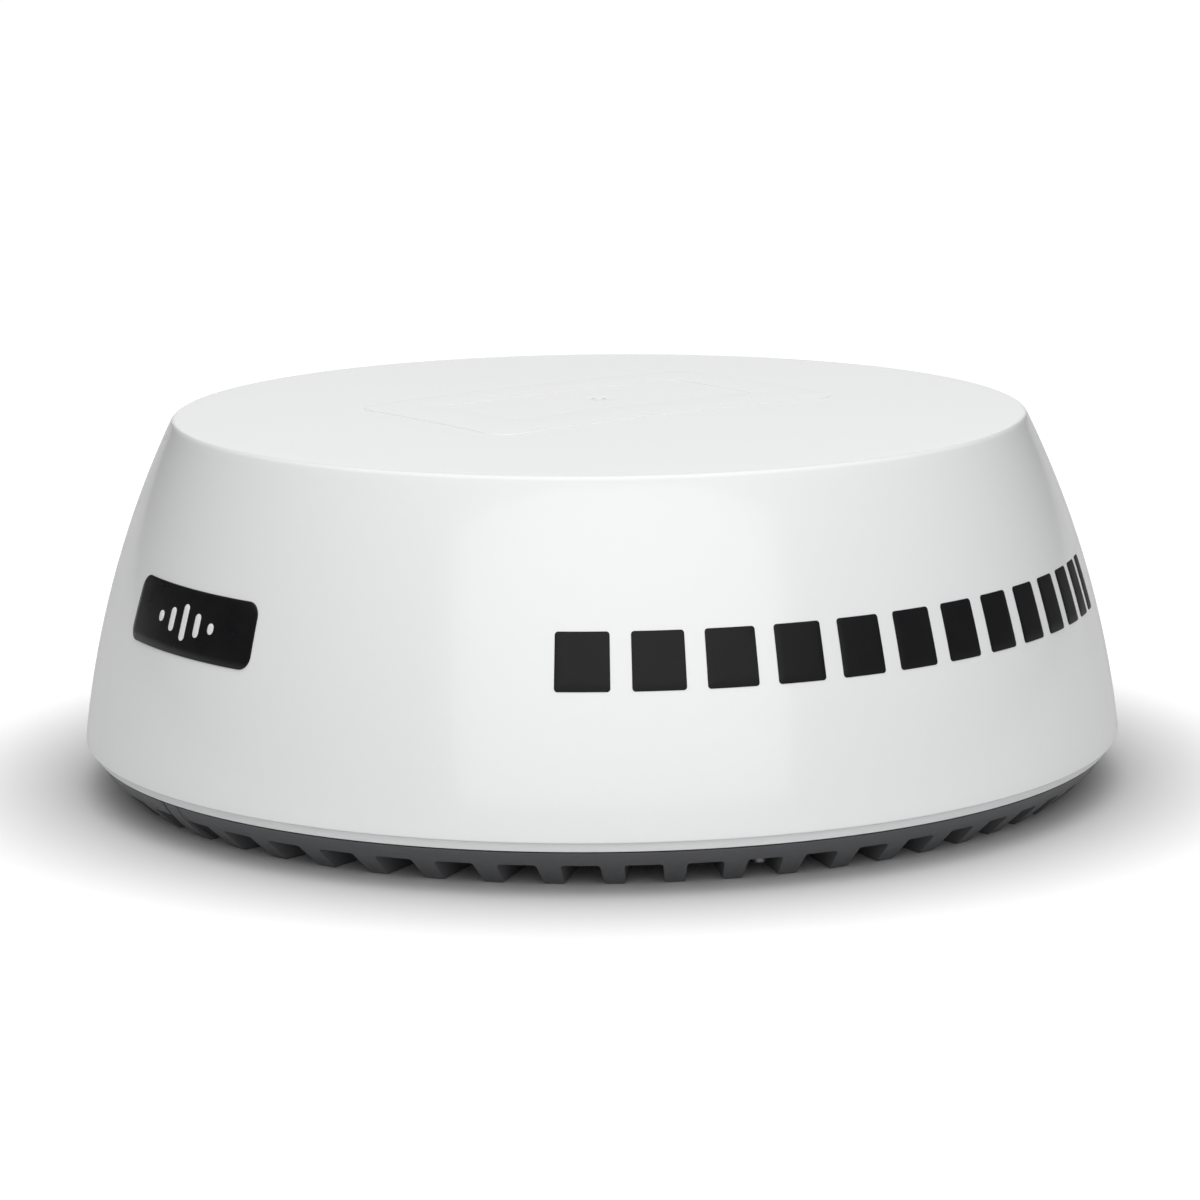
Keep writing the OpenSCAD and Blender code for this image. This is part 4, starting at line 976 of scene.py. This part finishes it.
# %% The ring tree
def make_ring_tree():
    """Repeats a share round the ribs' centre and finds where each point falls."""
    tree, given = shape_tree("ring of ribs", ["Count", "Centre Y"])
    count = given.outputs["Count"]
    spots = add(tree, "GeometryNodePoints", {"Count": add(tree, "FunctionNodeFloatToInt", {0: count}).outputs[0]})
    index = add(tree, "GeometryNodeInputIndex").outputs[0]
    heading = calc(tree, "MULTIPLY", calc(tree, "DIVIDE", index, count), 2 * math.pi)
    marked = add(tree, "GeometryNodeStoreNamedAttribute", {"Geometry": spots.outputs[0], "Name": "heading"},
                 data_type="FLOAT", domain="POINT")
    tree.links.new(heading, marked.inputs["Value"])
    placed = add(tree, "GeometryNodeInstanceOnPoints",
                 {"Points": marked.outputs[0], "Instance": given.outputs["Geometry"]})
    real = add(tree, "GeometryNodeRealizeInstances", {"Geometry": placed.outputs[0]}).outputs[0]
    own = [add(tree, "GeometryNodeInputNamedAttribute", {"Name": name}, data_type="FLOAT").outputs[0]
           for name in ("heading", "turn")]
    angle = calc(tree, "ADD", *own)
    sine, cosine = calc(tree, "SINE", angle), calc(tree, "COSINE", angle)
    spot = add(tree, "ShaderNodeSeparateXYZ", {0: add(tree, "GeometryNodeInputPosition").outputs[0]}).outputs
    x, reach, centre = spot["X"], spot["Y"], given.outputs["Centre Y"]
    aft = calc(tree, "MULTIPLY", centre, cosine)
    squares = calc(tree, "ADD", calc(tree, "MULTIPLY", x, x), calc(tree, "MULTIPLY", centre, centre))
    crossed = calc(tree, "MULTIPLY", calc(tree, "MULTIPLY", calc(tree, "MULTIPLY", centre, x), sine), 2.0)
    from_axis = calc(tree, "ADD", squares, crossed)
    under_root = calc(tree, "ADD", calc(tree, "SUBTRACT", calc(tree, "MULTIPLY", aft, aft), from_axis),
                      calc(tree, "MULTIPLY", reach, reach))
    on_circle = calc(tree, "ADD", aft, calc(tree, "SQRT", under_root))
    is_inner = calc(tree, "LESS_THAN", reach, 0.0)
    along = add(tree, "ShaderNodeMix", {"Factor": is_inner, 2: on_circle, 3: calc(tree, "MULTIPLY", reach, -1.0)},
                data_type="FLOAT").outputs[0]
    out_x = calc(tree, "ADD", calc(tree, "MULTIPLY", along, sine), calc(tree, "MULTIPLY", x, cosine))
    out_y = calc(tree, "SUBTRACT", calc(tree, "ADD", centre, calc(tree, "MULTIPLY", x, sine)),
                 calc(tree, "MULTIPLY", along, cosine))
    at = add(tree, "ShaderNodeCombineXYZ", {"X": out_x, "Y": out_y, "Z": spot["Z"]}).outputs[0]
    moved = add(tree, "GeometryNodeSetPosition", {"Geometry": real, "Position": at}).outputs[0]
    end_tree(tree, given, moved, 0.00002)
    return tree


RING = make_ring_tree()
ring = grown(share_template(), RING, finishes["base_grey"], **{"Count": float(RIB_COUNT), "Centre Y": RIB_CENTRE_Y})
if volume_of(ring) < 0:
    ring.flip_normals()
print("ring of ribs:", len(ring.polygons), "faces, litres:", round(volume_of(ring) * 1000, 2))


# %% [markdown]
# ## Cutting and filling the base
# The rest of the casting is cut with plain solids: the bay for the sockets at the stern, and the two grooves
# beside the bow strip. The middle is a plate with the foot ring and four thread bosses under it. After the cuts
# every sharp edge gets a small round, as a painted casting has.

# %% Plain solids
def box_mesh(low, high):
    form = bmesh.new()
    bmesh.ops.create_cube(form, size=1.0)
    for v in form.verts:
        v.co = Vector([low[i] + (high[i] - low[i]) * (v.co[i] + 0.5) for i in range(3)])
    mesh = bpy.data.meshes.new("box")
    form.to_mesh(mesh)
    form.free()
    return mesh


def post_mesh(at, radius, low, high, segments=64):
    form = bmesh.new()
    bmesh.ops.create_cone(form, segments=segments, radius1=radius, radius2=radius, depth=high - low, cap_ends=True,
                          matrix=Matrix.Translation((at[0], at[1], (low + high) / 2)))
    mesh = bpy.data.meshes.new("post")
    form.to_mesh(mesh)
    form.free()
    return mesh


BAY_W, BAY_Y0, BAY_Y1, BAY_Z, BAY_T = 100 * MM, 150 * MM, 255 * MM, 44 * MM, 4 * MM
WINDOW_W, WINDOW_H, SOCKET_Z = 76 * MM, 21 * MM, 30 * MM
bay = box_mesh((-BAY_W / 2, BAY_Y0, -0.01), (BAY_W / 2, BAY_Y1, BAY_Z))
STRIP_DEPTH, STRIP_W, STRIP_GAP = 5 * MM, 12.5 * MM, 2 * MM


def groove_mesh():
    """The space for the bow strip and its two grooves: the bowl's outline, thickened inwards, across the bow."""
    heights = [FLANGE_Z * 1.02 * i / 12 for i in range(13)]
    outer = [(-(bowl_r(z) + 3 * MM), z) for z in heights]
    inner = [(-(bowl_r(z) - STRIP_DEPTH), z) for z in reversed(heights)]
    outer[0], inner[-1] = (outer[0][0], -0.002), (inner[-1][0], -0.002)
    side = outer + inner
    half = STRIP_W / 2 + STRIP_GAP
    verts = [(x, y, z) for x in (-half, half) for y, z in side]
    count = len(side)
    faces = [tuple(range(count)), tuple(reversed(range(count, 2 * count)))]
    faces += [((i + 1) % count, i, count + i, count + (i + 1) % count) for i in range(count)]
    mesh = bpy.data.meshes.new("groove")
    mesh.from_pydata(verts, [], faces)
    if volume_of(mesh) < 0:
        mesh.flip_normals()
    return mesh


# %% The pan
mount_spots = [(sx * 90 * MM, sy * 110 * MM) for sx in (-1, 1) for sy in (-1, 1)]
floor_top = SLOT_TOP + FLOOR_T
cut_ring = combined(ring, [groove_mesh(), bay])
middle = post_mesh((0, RIB_CENTRE_Y), RIB_START + 0.05 * MM, 0, floor_top - 0.02 * MM, 240)
recess = combined(post_mesh((0, RIB_CENTRE_Y), 180 * MM, -0.01, SLOT_TOP, 240),
                  [post_mesh(spot, 14 * MM, -0.02, 0.03) for spot in mount_spots])
inserts = [post_mesh(spot, 6.05 * MM, -0.01, 20 * MM) for spot in mount_spots]
middle = combined(middle, [recess, bay])
middle = combined(middle, [post_mesh(spot, 13.9 * MM, SLOT_TOP + 1 * MM, 24 * MM) for spot in mount_spots], "UNION")
middle = combined(middle, inserts)
hood = box_mesh((-BAY_W / 2 - BAY_T, BAY_Y0 - BAY_T, floor_top - 1 * MM),
                (BAY_W / 2 + BAY_T, BAY_Y1 + BAY_T, BAY_Z + BAY_T))
window = box_mesh((-WINDOW_W / 2, BAY_Y0 - 2 * BAY_T, SOCKET_Z - WINDOW_H / 2),
                  (WINDOW_W / 2, BAY_Y0 + BAY_T, SOCKET_Z + WINDOW_H / 2))
hood = combined(hood, [bay, window])
pan = joined([bevelled(cut_ring, EDGE_ROUND), bevelled(middle, EDGE_ROUND), bevelled(hood, EDGE_ROUND)])
add_piece("base_casting", pan, "base", "base_grey", "base_pan")
print("base casting:", len(pan.polygons), "faces")

# %% [markdown]
# ## Softened parts
# Most inner parts have their true shape in CAD, but with knife-sharp edges. A copy of the CAD mesh is merged, its
# flat faces are joined up and every sharp edge gets a small round, so that it catches the light as a cast,
# turned or bent part does. The width of the round suits the process: wide on castings, slim on sheet and screws.

# %% Softening
def softened(node, width, segments=2):
    """A copy of a CAD node's mesh with merged points, whole faces and rounded edges."""
    form = bmesh.new()
    form.from_mesh(nodes[node].data)
    bmesh.ops.remove_doubles(form, verts=form.verts, dist=2e-6)
    bmesh.ops.dissolve_limit(form, angle_limit=math.radians(1.0), verts=form.verts, edges=form.edges)
    mesh = bpy.data.meshes.new(node + "_soft")
    form.to_mesh(mesh)
    form.free()
    return bevelled(mesh, width, segments, 40)


body_of = {node: body for body, members in frame["record"]["behaviour"]["bodies"].items() for node in members}
slot_of = {entry["node"]: entry["material_slot"] for entry in frame["record"]["subparts"]}
EDGE_WIDTHS = {
    1.2: ["turntable_housing", "transceiver_case", "transceiver_lid", "counterweight"],
    0.8: ["motor_body", "breather_vent", "drain_plug", "end_caps", "driven_pulley"],
    0.5: ["motor_bracket", "antenna_bracket", "connector_plate", "bow_strip", "power_components", "shield_cans",
          "array_window", "power_socket", "data_socket", "bearing_cover", "antenna_shaft", "motor_pulley",
          "idler_post", "idler_roller", "earth_stud", "rotary_joint_rotor", "rotary_joint_stator"],
    0.3: ["radome_screws", "chassis_screws", "antenna_screws", "motor_screws", "lid_screws", "connector_screws",
          "mount_inserts", "radome_inserts", "board_standoffs", "bearing_outer_rings", "bearing_inner_rings",
          "motor_shaft", "radome_seal", "screw_seals", "encoder_magnet", "drive_belt", "antenna_tray"],
    0.2: ["power_board", "processor_board", "transceiver_board", "sensor_board", "array_board", "shaft_circlip"]}
for width, group in EDGE_WIDTHS.items():
    for node in group:
        add_piece(node + "_finished", softened(node, width * MM), body_of[node], slot_of[node], node)
print("softened:", sum(len(group) for group in EDGE_WIDTHS.values()))

# %% [markdown]
# ## The other parts
# What is left keeps its CAD mesh and takes its slot's finish.

# %% Finishes on the CAD parts, and the end
for node, part in nodes.items():
    for entry in part.material_slots:
        entry.material = finishes[slot_of[node]]
